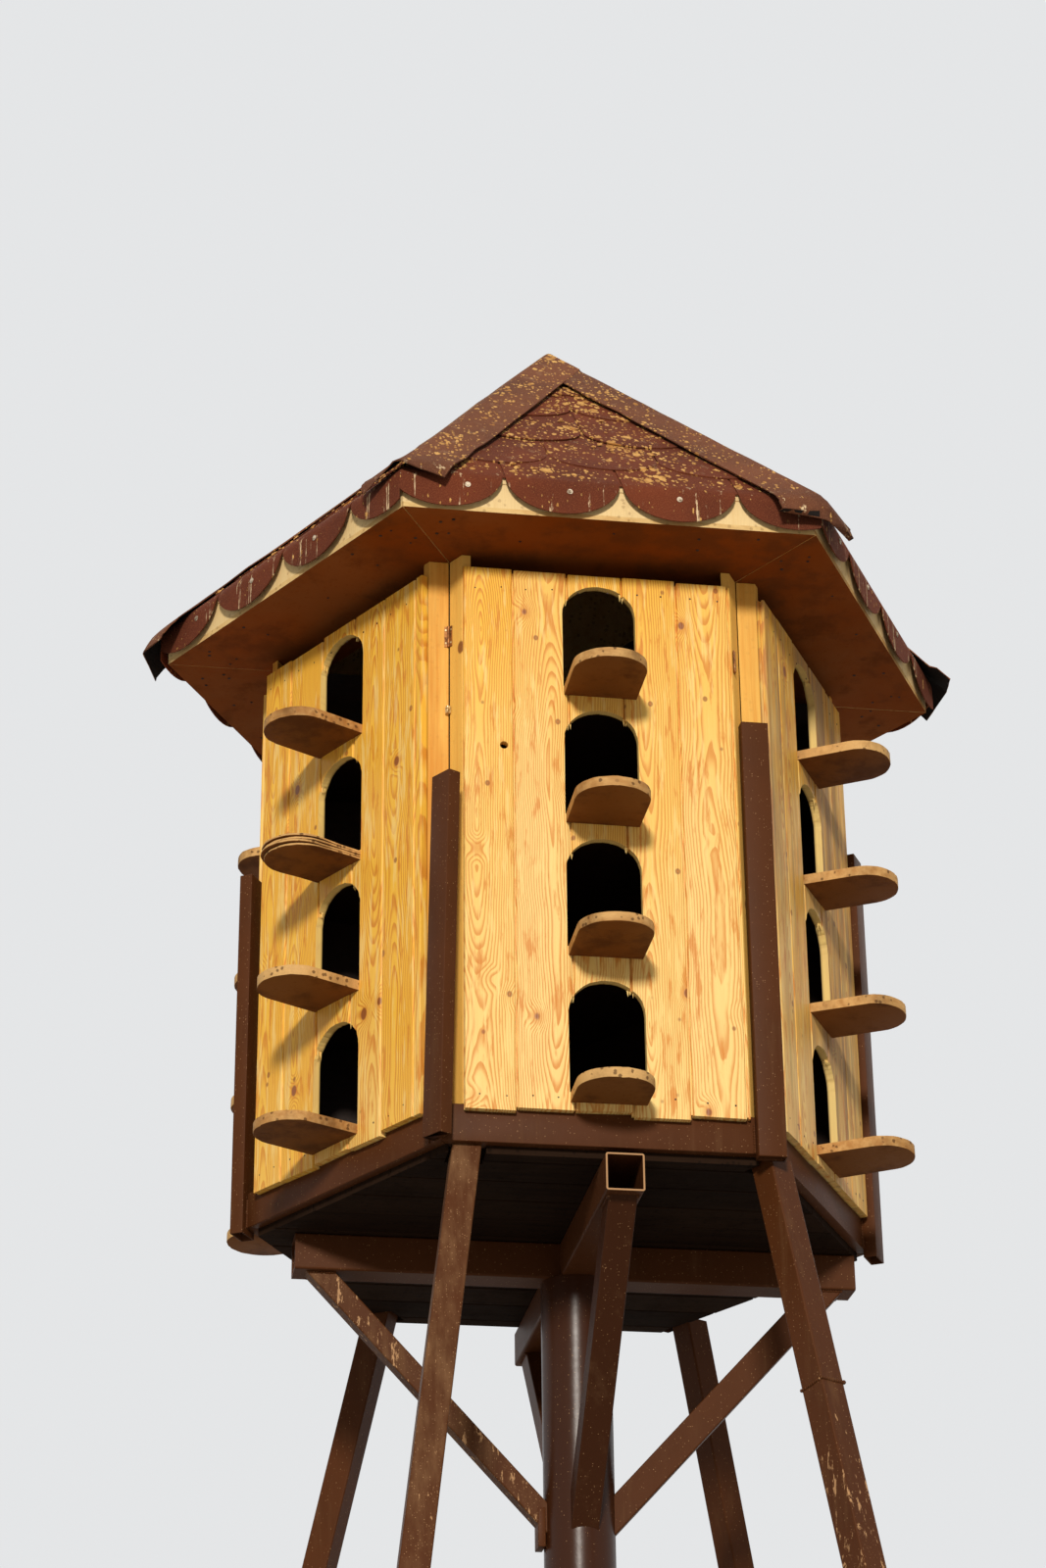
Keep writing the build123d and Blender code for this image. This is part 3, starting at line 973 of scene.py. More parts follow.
@dataclass(frozen=True)
class Felt:
    """Mineral felt with lichen and droppings."""

    base: Colour = paint(114, 52, 27)
    shade: Colour = paint(84, 38, 21)
    chip: Colour = paint(150, 88, 54)
    lichen: Colour = paint(236, 184, 106)
    moss: Colour = paint(182, 126, 62)
    chalk: Colour = paint(234, 206, 164)
    # Near black of the caps' undersides: the felt's dark bitumen back, with painted shade
    tar: Colour = paint(22, 15, 12)
    growth: float = 0.9

    def dress(self, name: str) -> bpy.types.Material:
        """Build the material.

        Args:
            name: Name of the material.

        Returns:
            The material.
        """
        mix = Recipe(name)
        place = mix.place()
        seed = mix.label("board")
        grit = mix.noise(place, 420.0, 2.0, 0.6)
        cloud = mix.noise(mix.stretch(place, (3.0, 3.0, 3.0), seed), 1.0, 5.0, 0.6)
        colour = mix.blend(mix.step(cloud, 0.3, 0.7), self.base, self.shade)
        colour = mix.blend(mix.step(grit, 0.52, 0.68) * 0.5, colour, self.chip)
        colour = mix.blend(mix.step(grit, 0.44, 0.34) * 0.5, colour, self.shade)
        level = mix.part(place, 2)
        eave = HOUSE.fascia_top + 0.016
        sloping = mix.step(level, eave - 0.012, eave + 0.03)
        high = mix.step(level, eave + 0.25, HOUSE.fascia_top + HOUSE.roof_rise)
        # Lichen: crusts of many sizes, crowded in patches and towards the peak
        patch = mix.noise(mix.stretch(place, (5.0, 5.0, 5.0)), 1.0, 5.0, 0.65)
        ragged = mix.noise(mix.stretch(place, (1.0, 1.0, 0.6)), 110.0, 4.0, 0.75)
        spread = (mix.step(patch, 0.34, 0.70) * 0.62 + high * 0.3 + 0.08) * sloping * self.growth
        grown = spread * 0.0
        for scale, share in ((30.0, 0.45), (58.0, 0.75), (110.0, 0.95)):
            far, chance = mix.cells(mix.stretch(place, (1.0, 0.7, 0.34)), scale)
            reach = spread * share * chance + 0.02
            crust = mix.step(far + (ragged - 0.5) * 0.7 - reach, 0.12, 0.03)
            grown = grown + crust * mix.step(chance, 0.25, 0.45)
        grown = mix.step(grown, 0.2, 0.9)
        hue = mix.noise(place, 30.0, 2.0)
        crusted = mix.blend(mix.step(hue, 0.35, 0.65), self.lichen, self.moss)
        colour = mix.blend(grown * 0.9, colour, crusted)
        # Droppings and chalk that run down the hanging tabs
        streak = mix.noise(mix.stretch(place, (46.0, 46.0, 2.2)), 1.0, 4.0, 0.7)
        run = mix.step(streak + (ragged - 0.5) * 0.2, 0.60, 0.66)
        hanging = mix.step(level, eave + 0.02, eave - 0.02)
        colour = mix.blend(run * (hanging * 0.8 + 0.1), colour, self.chalk)
        # The undersides of the caps are coloured near black: partly the felt's dark bitumen back, partly
        # painted shade
        colour = mix.blend(mix.label("under"), colour, self.tar)
        height = grit * 0.5 + grown * 0.9 + ragged * 0.3
        return mix.bake(colour, 0.88 - grown * 0.08, height, 0.0014, shine=0.25)


@dataclass(frozen=True)
class Metal:
    """Bare fixings, with tarnish."""

    bright: Colour
    dull: Colour
    rough: float = 0.35
    metal: float = 0.8

    def dress(self, name: str) -> bpy.types.Material:
        """Build the material.

        Args:
            name: Name of the material.

        Returns:
            The material.
        """
        mix = Recipe(name)
        place = mix.place()
        cloud = mix.noise(place, 90.0, 4.0, 0.6)
        tarnish = mix.step(cloud, 0.42, 0.62)
        colour = mix.blend(tarnish, self.bright, self.dull)
        return mix.bake(colour, self.rough + tarnish * 0.25, cloud, 0.0003, self.metal)


@dataclass(frozen=True)
class WallPlan:
    """What differs from one wall to the next."""

    side: Side
    joints: Tuple[float, ...]
    weather: float = 0.1
    deep: float = 0.0
    rough_cut: float = 0.0008


@dataclass
class Walls:
    """Upright tongued boards with arched holes, their nails and splinters."""

    gap: float = 0.0040
    bevel: float = 0.0034
    recess: float = 0.0085
    groove: float = 0.0052
    groove_depth: float = 0.0065
    nail_radius: float = 0.0022
    plans: Tuple[WallPlan, ...] = (
        WallPlan(Side.FRONT, (-0.300, -0.190, -0.070, 0.052, 0.173, 0.290)),
        WallPlan(Side.FRONT_RIGHT, (-0.300, -0.201, -0.080, 0.047, 0.181, 0.299), 0.75, 0.3, 0.0016),
        WallPlan(Side.REAR_RIGHT, (-0.300, -0.184, -0.062, 0.058, 0.176, 0.299), 0.7, 0.3, 0.0014),
        WallPlan(Side.REAR, (-0.300, -0.176, -0.058, 0.063, 0.182, 0.299), 0.5, 0.25),
        WallPlan(Side.REAR_LEFT, (-0.300, -0.188, -0.066, 0.055, 0.174, 0.299), 0.35, 0.3),
        WallPlan(Side.FRONT_LEFT, (-0.300, -0.197, -0.074, 0.048, 0.160, 0.274), 0.15, 0.66, 0.0014),
    )

    def build(self) -> None:
        """Build and dress the six walls."""
        for number, plan in enumerate(self.plans):
            chance = random.Random(40 + number)
            cutter = self.make_cutter(plan, number)
            parts = self.make_boards(plan, chance)
            for part in parts:
                Bench.cut(part, cutter)
            parts = [part for part in parts if len(part.data.polygons) > 0]
            Bench.drop(cutter)
            wall = Bench.join(parts, f"{plan.side.word}_boards")
            self.mark_boards(wall, plan, chance)
            splinters = self.make_splinters(plan, chance)
            wall = Bench.join([wall] + splinters, f"{plan.side.word}_boards")
            Bench.set_down(wall, plan.side)
            finish = Pine(plan.side, plan.weather, plan.deep).dress(f"{plan.side.word}_pine")
            Bench.hand_over(wall, finish, "wall_boards", [f"{plan.side.word}_wall"])
        self.build_nails()

    def make_cutter(self, plan: WallPlan, number: int) -> Piece:
        """Four arches, and the knot hole in front, joined to cut the boards.

        Args:
            plan: The wall's plan.
            number: The wall's number, which seeds the roughness of the cut.

        Returns:
            The cutter.
        """
        arches = []
        for order, level in enumerate(HOUSE.perch_levels):
            arch = Bench.arch(
                "cutter", HOUSE.hole_width, HOUSE.hole_height, HOUSE.hole_crown, 0.1, 10
            )
            foot = HOUSE.base + level + HOUSE.perch_thick
            Bench.move(arch, (0, -HOUSE.frame + 0.04, foot), (math.pi / 2, 0, 0))
            Bench.roughen(arch, plan.rough_cut, number * 10 + order)
            arches.append(arch)
        if plan.side is Side.FRONT:
            knot = Bench.rod("cutter", 0.009, 0.1, (0, 0, 0), 14)
            place = (-0.212, -HOUSE.frame - 0.01, HOUSE.base + 0.831)
            Bench.move(knot, place, (math.pi / 2, 0, 0))
            arches.append(knot)
        return Bench.join(arches, "cutter")

    def make_boards(self, plan: WallPlan, chance: random.Random) -> List[Piece]:
        """Boards with a bevel down each front edge, uneven ends and a tongue in each joint.

        Args:
            plan: The wall's plan.
            chance: Random numbers of this wall.

        Returns:
            The boards and tongues.
        """
        parts = []
        front, back = -HOUSE.face, -HOUSE.frame
        pairs = list(zip(plan.joints, plan.joints[1:]))
        if plan.joints[-1] < 0.295:
            pairs.append((plan.joints[-1], 0.2985))
        for order, (left, right) in enumerate(pairs):
            low = HOUSE.base + chance.uniform(-0.005, 0.006)
            high = HOUSE.base + HOUSE.height + chance.uniform(-0.005, 0.003)
            narrow = right - left < 0.05
            lie = chance.uniform(0.0, 0.0012) + (0.005 if narrow and right - left < 0.015 else 0)
            board = Bench.block(
                "board",
                (left + self.gap / 2, front + lie, low),
                (right - self.gap / 2, back, high),
            )
            with Bench.edit(board):
                Bench.pick(
                    Element.EDGE,
                    lambda at, way: at.y < front + lie + 0.001 and abs(way.z) > 0.9,
                )
                wide = 0.002 if narrow else self.bevel
                bpy.ops.mesh.bevel(offset=wide, segments=3, affect="EDGES")
                slant = chance.uniform(-0.003, 0.003)
                Bench.pick(Element.CORNER, lambda at, _: at.z < low + 0.001 and at.x > left + 0.05)
                bpy.ops.transform.translate(value=(0, 0, slant))
            if order == 0:
                slot = Bench.block(
                    "groove",
                    (left - 0.002, front + 0.0064, low - 0.01),
                    (left + self.groove_depth, front + 0.0064 + self.groove, high + 0.01),
                )
                Bench.cut(board, slot)
                Bench.drop(slot)
            parts.append(board)
            if order > 0:
                tongue = Bench.block(
                    "tongue",
                    (left - self.gap, front + self.recess, low + 0.004),
                    (left + self.gap, back - 0.001, high - 0.004),
                )
                parts.append(tongue)
        return parts

    def mark_boards(self, wall: Piece, plan: WallPlan, chance: random.Random) -> None:
        """Give every board its own tone and the place of its middle.

        Args:
            wall: The wall's joined boards, still at the front.
            plan: The wall's plan.
            chance: Random numbers of this wall.
        """
        ends = list(plan.joints) + [0.31]
        tones = [chance.random() for _ in ends]

        def which(at: Vector) -> int:
            """Number of the board at a place."""
            return max(0, min(len(ends) - 2, sum(1 for end in ends if at.x > end) - 1))

        bare = 0.0 if plan.side is Side.FRONT else 0.6

        def raw(at: Vector) -> float:
            """How raw the wood is at a place: fresh on tongues and in the holes."""
            deep = -HOUSE.face + 0.0034 < at.y < -HOUSE.frame - 0.001
            if deep and any(abs(at.x - joint) < 0.0035 for joint in plan.joints[1:]):
                return bare
            return 0.75 if deep and self.in_hole(at) else 0.0

        Bench.mark(wall, "board", lambda at: tones[which(at)])
        Bench.mark(wall, "middle", lambda at: (ends[which(at)] + ends[which(at) + 1]) / 2)
        Bench.mark(wall, "raw", raw)

    @staticmethod
    def in_hole(at: Vector) -> bool:
        """Whether a place on a wall at the front is on the cut edge of a pigeon hole."""
        half = HOUSE.hole_width / 2
        for level in HOUSE.perch_levels:
            rise = at.z - HOUSE.base - level - HOUSE.perch_thick
            if -0.004 < rise < HOUSE.hole_height + 0.004 and abs(at.x) < half + 0.004:
                return True
        return False

    def make_splinters(self, plan: WallPlan, chance: random.Random) -> List[Piece]:
        """Pale splinters where the tops of the arches cross the joints.

        Args:
            plan: The wall's plan.
            chance: Random numbers of this wall.

        Returns:
            The splinters.
        """
        splinters = []
        half = HOUSE.hole_width / 2
        for level in HOUSE.perch_levels:
            spring = HOUSE.base + level + HOUSE.perch_thick + HOUSE.hole_height - HOUSE.hole_crown
            for joint in plan.joints[1:-1]:
                if abs(joint) > half:
                    continue
                rise = HOUSE.hole_crown * math.sqrt(1 - (joint / half) ** 2)
                for _ in range(3):
                    length = chance.uniform(0.009, 0.020)
                    Bench.clear()
                    bpy.ops.mesh.primitive_cone_add(
                        vertices=5, radius1=chance.uniform(0.0015, 0.0035), depth=length
                    )
                    splinter = bpy.context.object
                    splinter.scale = (1, 0.6, 1)
                    Bench.settle(splinter)
                    side = chance.uniform(-0.006, 0.006)
                    place = (
                        joint + side,
                        -HOUSE.frame - chance.uniform(0.004, 0.014),
                        spring + rise - length * 0.3,
                    )
                    Bench.move(splinter, place, (math.pi + chance.uniform(-0.2, 0.2), 0, 0))
                    for label, number in (("board", 0.4), ("middle", joint), ("raw", 0.8)):
                        Bench.mark(splinter, label, lambda at, value=number: value)
                    splinters.append(splinter)
        return splinters

    def build_nails(self) -> None:
        """Build the rows of nail heads near the ends of the boards."""
        nail = Bench.rod("nail", self.nail_radius, 0.0012, (0, 0, 0), 8)
        Bench.move(nail, (0, 0, 0), (math.pi / 2, 0, 0))
        Bench.ease(nail, 0.0004, 1)
        heads = []
        for number, plan in enumerate(self.plans):
            chance = random.Random(70 + number)
            for left, right in zip(plan.joints, plan.joints[1:]):
                for share in (0.25, 0.75):
                    for level in (0.034, HOUSE.height - 0.045):
                        head = Bench.copy(nail, "nail")
                        across = left + (right - left) * share + chance.uniform(-0.006, 0.006)
                        height = HOUSE.base + level + chance.uniform(-0.006, 0.006)
                        Bench.move(head, (across, -HOUSE.face + 0.0006, height))
                        Bench.set_down(head, plan.side)
                        heads.append(head)
        Bench.drop(nail)
        nails = Bench.join(heads, "board_nails")
        finish = Metal(paint(70, 52, 42), paint(48, 30, 22), 0.6, 0.4).dress("nail_iron")
        Bench.hand_over(nails, finish, "hinge_metal")


@dataclass
class Perches:
    """Round-ended boards at the foot of the pigeon holes."""

    width: float = 0.160
    reach: float = 0.190
    short_reach: float = 0.150
    crown: float = 0.0705
    layers: int = 4

    def build(self) -> None:
        """Build and dress the perches of the six walls."""
        for side in Side:
            boards = []
            chance = random.Random(side.value)
            for order, level in enumerate(HOUSE.perch_levels):
                reach = self.reach
                if side is Side.FRONT and order == 0:
                    reach = self.short_reach
                split = side is Side.FRONT_LEFT and order == 2
                tilt = chance.uniform(-0.012, 0.02)
                skew = chance.uniform(-0.01, 0.01)
                tone = chance.random()
                for board in self.make_perch(reach, split, side.value + order):
                    Bench.mark(board, "board", lambda at, value=tone: value)
                    place = (0, -HOUSE.face + 0.002, HOUSE.base + level)
                    Bench.move(board, place, (tilt, skew, math.pi))
                    boards.append(board)
            perches = Bench.join(boards, f"{side.word}_perch_boards")
            Bench.smooth(perches)
            Bench.set_down(perches, side)
            finish = Timber(
                light=paint(226, 180, 116),
                deep=paint(184, 130, 72),
                stain=paint(70, 40, 20),
                grain=(9.0, 60.0, 60.0),
                dirt=0.8,
                # Painted shade: the undersides of the perches take this colour
                under=paint(120, 70, 26),
                shine=0.12,
            )
            Bench.hand_over(
                perches,
                finish.dress(f"{side.word}_perch_wood", side),
                "perch_wood",
                [f"{side.word}_perches"],
            )

    def make_perch(self, reach: float, split: bool, seed: int) -> List[Piece]:
        """One perch lying on the origin and reaching along +Y.

        Args:
            reach: Length from the wall.
            split: Whether its layers have come apart.
            seed: Seed of its wear.

        Returns:
            The board, or its layers.
        """
        if not split:
            board = Bench.arch("perch", self.width, reach, self.crown, HOUSE.perch_thick, 9)
            Bench.roughen(board, 0.0005, seed)
            Bench.ease(board, 0.003, 3)
            return [board]
        layers = []
        thick = HOUSE.perch_thick / self.layers
        for number in range(self.layers):
            layer = Bench.arch(
                "layer",
                self.width - 0.002 * (number % 2),
                reach - (0.009, 0.0, 0.006, 0.003)[number],
                self.crown,
                thick * 0.82,
                9,
            )
            Bench.score(layer, [(0, 0.05 * step, 0) for step in (1, 2, 3)], (0, 1, 0))
            with Bench.edit(layer):
                Bench.pick(Element.CORNER, lambda at, _: at.y > 0.1)
                lift = (-0.0022, -0.0006, 0.0008, 0.003)[number]
                bpy.ops.transform.translate(value=(0, 0, lift))
            Bench.roughen(layer, 0.0006, seed + number)
            Bench.move(layer, (0, 0, thick * number))
            Bench.ease(layer, 0.0008, 1)
            layers.append(layer)
        return layers


@dataclass
class CornerTimbers:
    """Upright strips in the corner notches and the butt hinges on them."""

    leaf_thick: float = 0.002
    notch_across: float = 0.32235
    notch_apothem: float = 0.55833
    hinge_drop: float = 0.147
    edge_hinge_drop: float = 0.184
    screw_in: float = 0.0082
    screw_rise: float = 0.016
    catch_level: float = 0.933

    def build(self, nodes: Dict[str, Piece]) -> None:
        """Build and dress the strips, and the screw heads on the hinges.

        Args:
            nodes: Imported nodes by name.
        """
        finish = Timber(
            light=paint(248, 194, 92),
            deep=paint(226, 150, 48),
            stain=paint(124, 66, 24),
            grain=(70.0, 70.0, 2.5),
            dirt=0.08,
            knots=0.34,
        ).dress("strip_pine")
        strips = Bench.from_node(nodes["corner_strips"], "corner_timbers")
        Bench.ease(strips, 0.0015, 2)
        Bench.mark(strips, "board", self.tone)
        Bench.hand_over(strips, finish, "strip_wood", ["corner_strips"])
        self.build_screws()

    @staticmethod
    def tone(at: Vector) -> float:
        """Tone of the strip at a place, from the corner and the side of it that it is on.

        Args:
            at: Place on the strip.

        Returns:
            A tone from 0 to 1.
        """
        turn = math.degrees(math.atan2(at.y, at.x - HOUSE.shift)) % 360
        corner = math.floor(turn / 60 + 0.5)
        right = turn / 60 + 0.5 - corner > 0.5
        return (corner * 0.41 + (0.45 if right else 0.0)) % 1

    def build_screws(self) -> None:
        """Build the screw heads on the leaves of the hinges, and the catch at one corner."""
        heads = []
        for side in Side:
            corner = Vector((self.notch_across, -self.notch_apothem, 0))
            facing, half = math.radians(300), math.radians(60)
            drop = self.hinge_drop
            if side is Side.FRONT:
                corner = Vector((HOUSE.half_width, -HOUSE.frame, 0))
                facing, half = math.radians(345), math.radians(75)
                drop = self.edge_hinge_drop
            level = HOUSE.base + HOUSE.height - drop
            for hand in (1, -1):
                along = facing + hand * half
                normal = along - hand * math.pi / 2
                spot = corner + self.turned(along) * self.screw_in
                spot += self.turned(normal) * (self.leaf_thick + 0.0004)
                for rise in (-self.screw_rise, self.screw_rise):
                    head = Bench.rod("screw", 0.0024, 0.0014, (0, 0, 0), 10)
                    Bench.ease(head, 0.0005, 1)
                    Bench.move(head, (0, 0, 0), (0, math.pi / 2, 0))
                    Bench.move(head, (spot.x, spot.y, level + rise), (0, 0, normal))
                    Bench.set_down(head, side)
                    heads.append(head)
        spot = Vector((self.notch_across, -self.notch_apothem, 0))
        spot += self.turned(math.radians(300)) * 0.008
        low = (spot.x - 0.005, spot.y - 0.005, HOUSE.base + self.catch_level - 0.009)
        high = (spot.x + 0.005, spot.y + 0.005, HOUSE.base + self.catch_level + 0.009)
        catch = Bench.ease(Bench.block("catch", low, high), 0.002, 3)
        Bench.set_down(catch, Side.FRONT_LEFT)
        screws = Bench.join(heads + [catch], "hinge_screws")
        finish = Metal(paint(238, 222, 176), paint(160, 126, 70), 0.35, 0.6).dress("screw_brass")
        Bench.hand_over(screws, finish, "hinge_metal")

    @staticmethod
    def turned(angle: float) -> Vector:
        """Level direction at an angle from +X.

        Args:
            angle: Angle in radians.

        Returns:
            The direction, one long.
        """
        return Vector((math.cos(angle), math.sin(angle), 0))


@dataclass
class Nests:
    """Floors and partitions of the nest rooms inside."""

    def build(self, nodes: Dict[str, Piece]) -> None:
        """Dress the nest rooms, which show through the holes.

        Args:
            nodes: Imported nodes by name.
        """
        boxes = Bench.from_node(nodes["nest_boxes"], "nest_boards")
        Bench.mark(boxes, "board", lambda at: (math.floor(at.z * 3.2) * 0.37 + at.x * 3.0) % 1)
        # Painted shade: the nest timber is coloured near black, as the darkness inside the house
        finish = Timber(
            light=paint(48, 27, 13),
            deep=paint(35, 20, 10),
            stain=paint(22, 13, 8),
            grain=(6.0, 60.0, 60.0),
            dirt=0.6,
        ).dress("nest_shade_timber")
        Bench.hand_over(boxes, finish, "nest_wood", ["nest_boxes"])


@dataclass
class Stand:
    """Steel stand: tubes, base rails, corner posts, weld beads and the deck."""

    rail_ease: float = 0.004
    plank: float = 0.118
    bead: float = 0.0042
    post_left: float = 0.3055
    brace_head: float = 0.586
    brace_half: float = 0.030
    left_brace_half: float = 0.023
    leg_head: Point = (0.3177, -0.5503, 4.005)
    leg_foot: Point = (0.790, -1.420, 0.0)
    leg_turn: float = 30.0
    splice: float = 3.50
    plate_low: Point = (-0.092, -0.026, 3.325)
    plate_high: Point = (-0.0764, 0.026, 3.408)

    def build(self, nodes: Dict[str, Piece]) -> None:
        """Build and dress the stand.

        Args:
            nodes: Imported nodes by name.
        """
        plain = Steel().dress("brown_steel")
        finishes = {
            "centre_pole": Steel(dust=0.25, rust=0.2, gloss=0.26, shine=0.18, coat=paint(56, 27, 11)),
            "front_arm": Steel(cut_end=-0.6168),
            "front_brace": Steel(coat=paint(64, 34, 18)),
            "left_brace": Steel(dust=1.0, rust=0.4, wear=0.55),
            "front_left_leg": Steel(dust=0.95, rust=0.3, wear=0.25),
            "front_right_leg": Steel(dust=0.5, rust=0.4, wear=0.6, gloss=0.34, worn_below=3.6),
        }
        for name, node in nodes.items():
            if name.endswith(("_arm", "_brace", "_leg", "_pole")):
                node.data.materials.clear()
                finish = finishes[name].dress(f"{name}_steel") if name in finishes else plain
                node.data.materials.append(finish)
        for side in Side:
            for part in ("rail", "post"):
                node = nodes[f"{side.word}_{part}"]
                piece = Bench.from_node(node, f"{side.word}_{part}_tube")
                Bench.ease(piece, self.rail_ease if part == "rail" else 0.003, 3)
                Bench.smooth(piece)
                Bench.hand_over(piece, plain, "stand_steel", [node.name])
        self.build_deck(nodes["floor_deck"])
        self.build_welds()

    def build_welds(self) -> None:
        """Build the beads where the rails meet and where posts and braces are welded on."""
        welds = []
        corner = HOUSE.frame * math.tan(math.radians(30))
        for side in Side:
            for number, across in enumerate((self.post_left, corner)):
                start = (across, -HOUSE.frame, HOUSE.rail_bottom + 0.004)
                end = (across, -HOUSE.frame, HOUSE.base - 0.004)
                weld = Bench.weld("weld", start, end, self.bead, side.value + number)
                Bench.set_down(weld, side)
                welds.append(weld)
        for angle in (0, 90, 180, 270):
            half = self.brace_half if angle != 180 else self.left_brace_half
            level = HOUSE.arm_bottom - 0.001
            for across in (-half, half):
                start = (self.brace_head, across, level)
                end = (self.brace_head - half * 2.5, across, level)
                weld = Bench.weld("weld", start, end, self.bead, angle + 7)
                Bench.move(weld, (0, 0, 0), (0, 0, math.radians(angle)))
                welds.append(weld)
        welds += self.ring(self.splice)
        plate = Bench.block("end_plate", self.plate_low, self.plate_high)
        welds.append(Bench.ease(plate, 0.0015, 2))
        beads = Bench.join(welds, "weld_beads")
        Bench.smooth(beads, 60)
        finish = Steel(dust=0.5, rust=0.7, wear=0.3).dress("weld_steel")
        Bench.hand_over(beads, finish, "stand_steel")

    def ring(self, level: float) -> List[Piece]:
        """Weld right round the front right leg, where its tube was lengthened.

        Args:
            level: Height of the weld.

        Returns:
            The four rows of beads.
        """
        head, foot = Vector(self.leg_head), Vector(self.leg_foot)
        along = (head - foot).normalized()
        turn = math.radians(self.leg_turn)
        facing = Vector((math.cos(turn), math.sin(turn), 0))
        across = (facing - along * facing.dot(along)).normalized()
        other = along.cross(across)
        centre = foot.lerp(head, level / head.z)
        signs = ((1, 1), (-1, 1), (-1, -1), (1, -1))
        corners = [centre + (across * a + other * b) * self.brace_half for a, b in signs]
        pairs = zip(corners, corners[1:] + corners[:1])
        return [
            Bench.weld("weld", start, end, self.bead, 90 + number)
            for number, (start, end) in enumerate(pairs)
        ]

    def build_deck(self, node: Piece) -> None:
        """Build the planks of the floor under the house.

        Args:
            node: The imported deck, which gives their outline.
        """
        outline = Bench.from_node(node, "deck_outline")
        planks = []
        count = 11
        chance = random.Random(5)
        for number in range(count):
            middle = (number - (count - 1) / 2) * self.plank
            half = self.plank / 2 - 0.001
            plank = Bench.block(
                "plank",
                (-0.75, middle - half, HOUSE.deck_bottom + chance.uniform(0, 0.001)),
                (0.75, middle + half, HOUSE.rail_bottom + 0.01),
            )
            Bench.ease(plank, 0.003, 2)
            tone = chance.random()
            Bench.mark(plank, "board", lambda at, value=tone: value)
            planks.append(plank)
        deck = Bench.join(planks, "deck_boards")
        Bench.cut(deck, outline, "INTERSECT")
        Bench.drop(outline)
        # Painted shade: the planks are coloured near black, as the shade under the house
        finish = Timber(
            light=paint(44, 29, 19),
            deep=paint(31, 20, 13),
            stain=paint(20, 13, 9),
            grain=(4.0, 60.0, 60.0),
            dirt=0.6,
            rough=0.85,
            shine=0.05,
        ).dress("deck_shade_wood")
        Bench.hand_over(deck, finish, "deck_planks", ["floor_deck"])


@dataclass(frozen=True)
class CapEnd:
    """How the lower end of a hip cap has bent with age."""

    reach: float = 0.080
    droop: float = 0.5
    flare: float = 0.0
    hang: float = 0.0
    lift: float = 0.0

    def hang_flaps(self, cap: Piece, eave_turn: float) -> None:
        """Bend the flaps of a flat cap down where they pass the eave, in edit mode.

        Args:
            cap: The cap, lying flat with the hip along Y.
            eave_turn: Angle between the eave and a line across the cap, in radians.
        """
        for hand in (1, -1):
            ahead = Vector((-hand * math.sin(eave_turn), math.cos(eave_turn), 0))
            for start in (0.004, -0.014, -0.032):
                Bench.pick(
                    Element.CORNER,
                    lambda at, _: hand * at.x > 0.02 and at.dot(ahead) < start - 0.001,
                )
                spot = ahead * start
                Bench.bend(cap, "Z", -hand * eave_turn, spot)
                Bench.bend(cap, "X", self.hang / 3, spot)
                Bench.bend(cap, "Z", hand * eave_turn, spot)

    def shape(self, cap: Piece) -> None:
        """Bend the end of a cap that is open in edit mode, with the hip along Y.

        Args:
            cap: The cap.
        """
        for start in (0.16, 0.10):
            Bench.pick(Element.CORNER, lambda at, _: at.y < start)
            Bench.bend(cap, "X", -self.lift / 2, (0, start, 0))
        starts = (0.008, -0.022, -0.050)
        for number, start in enumerate(starts):
            Bench.pick(Element.CORNER, lambda at, _: at.y < start - 0.004)
            Bench.bend(cap, "X", self.droop * (number + 1) / 6, (0, start, 0))
        for hand in (1, -1):
            Bench.pick(Element.CORNER, lambda at, _: at.y < -0.004 and hand * at.x > 0.03)
            Bench.bend(cap, "Y", -hand * self.flare, (hand * 0.03, 0, 0))


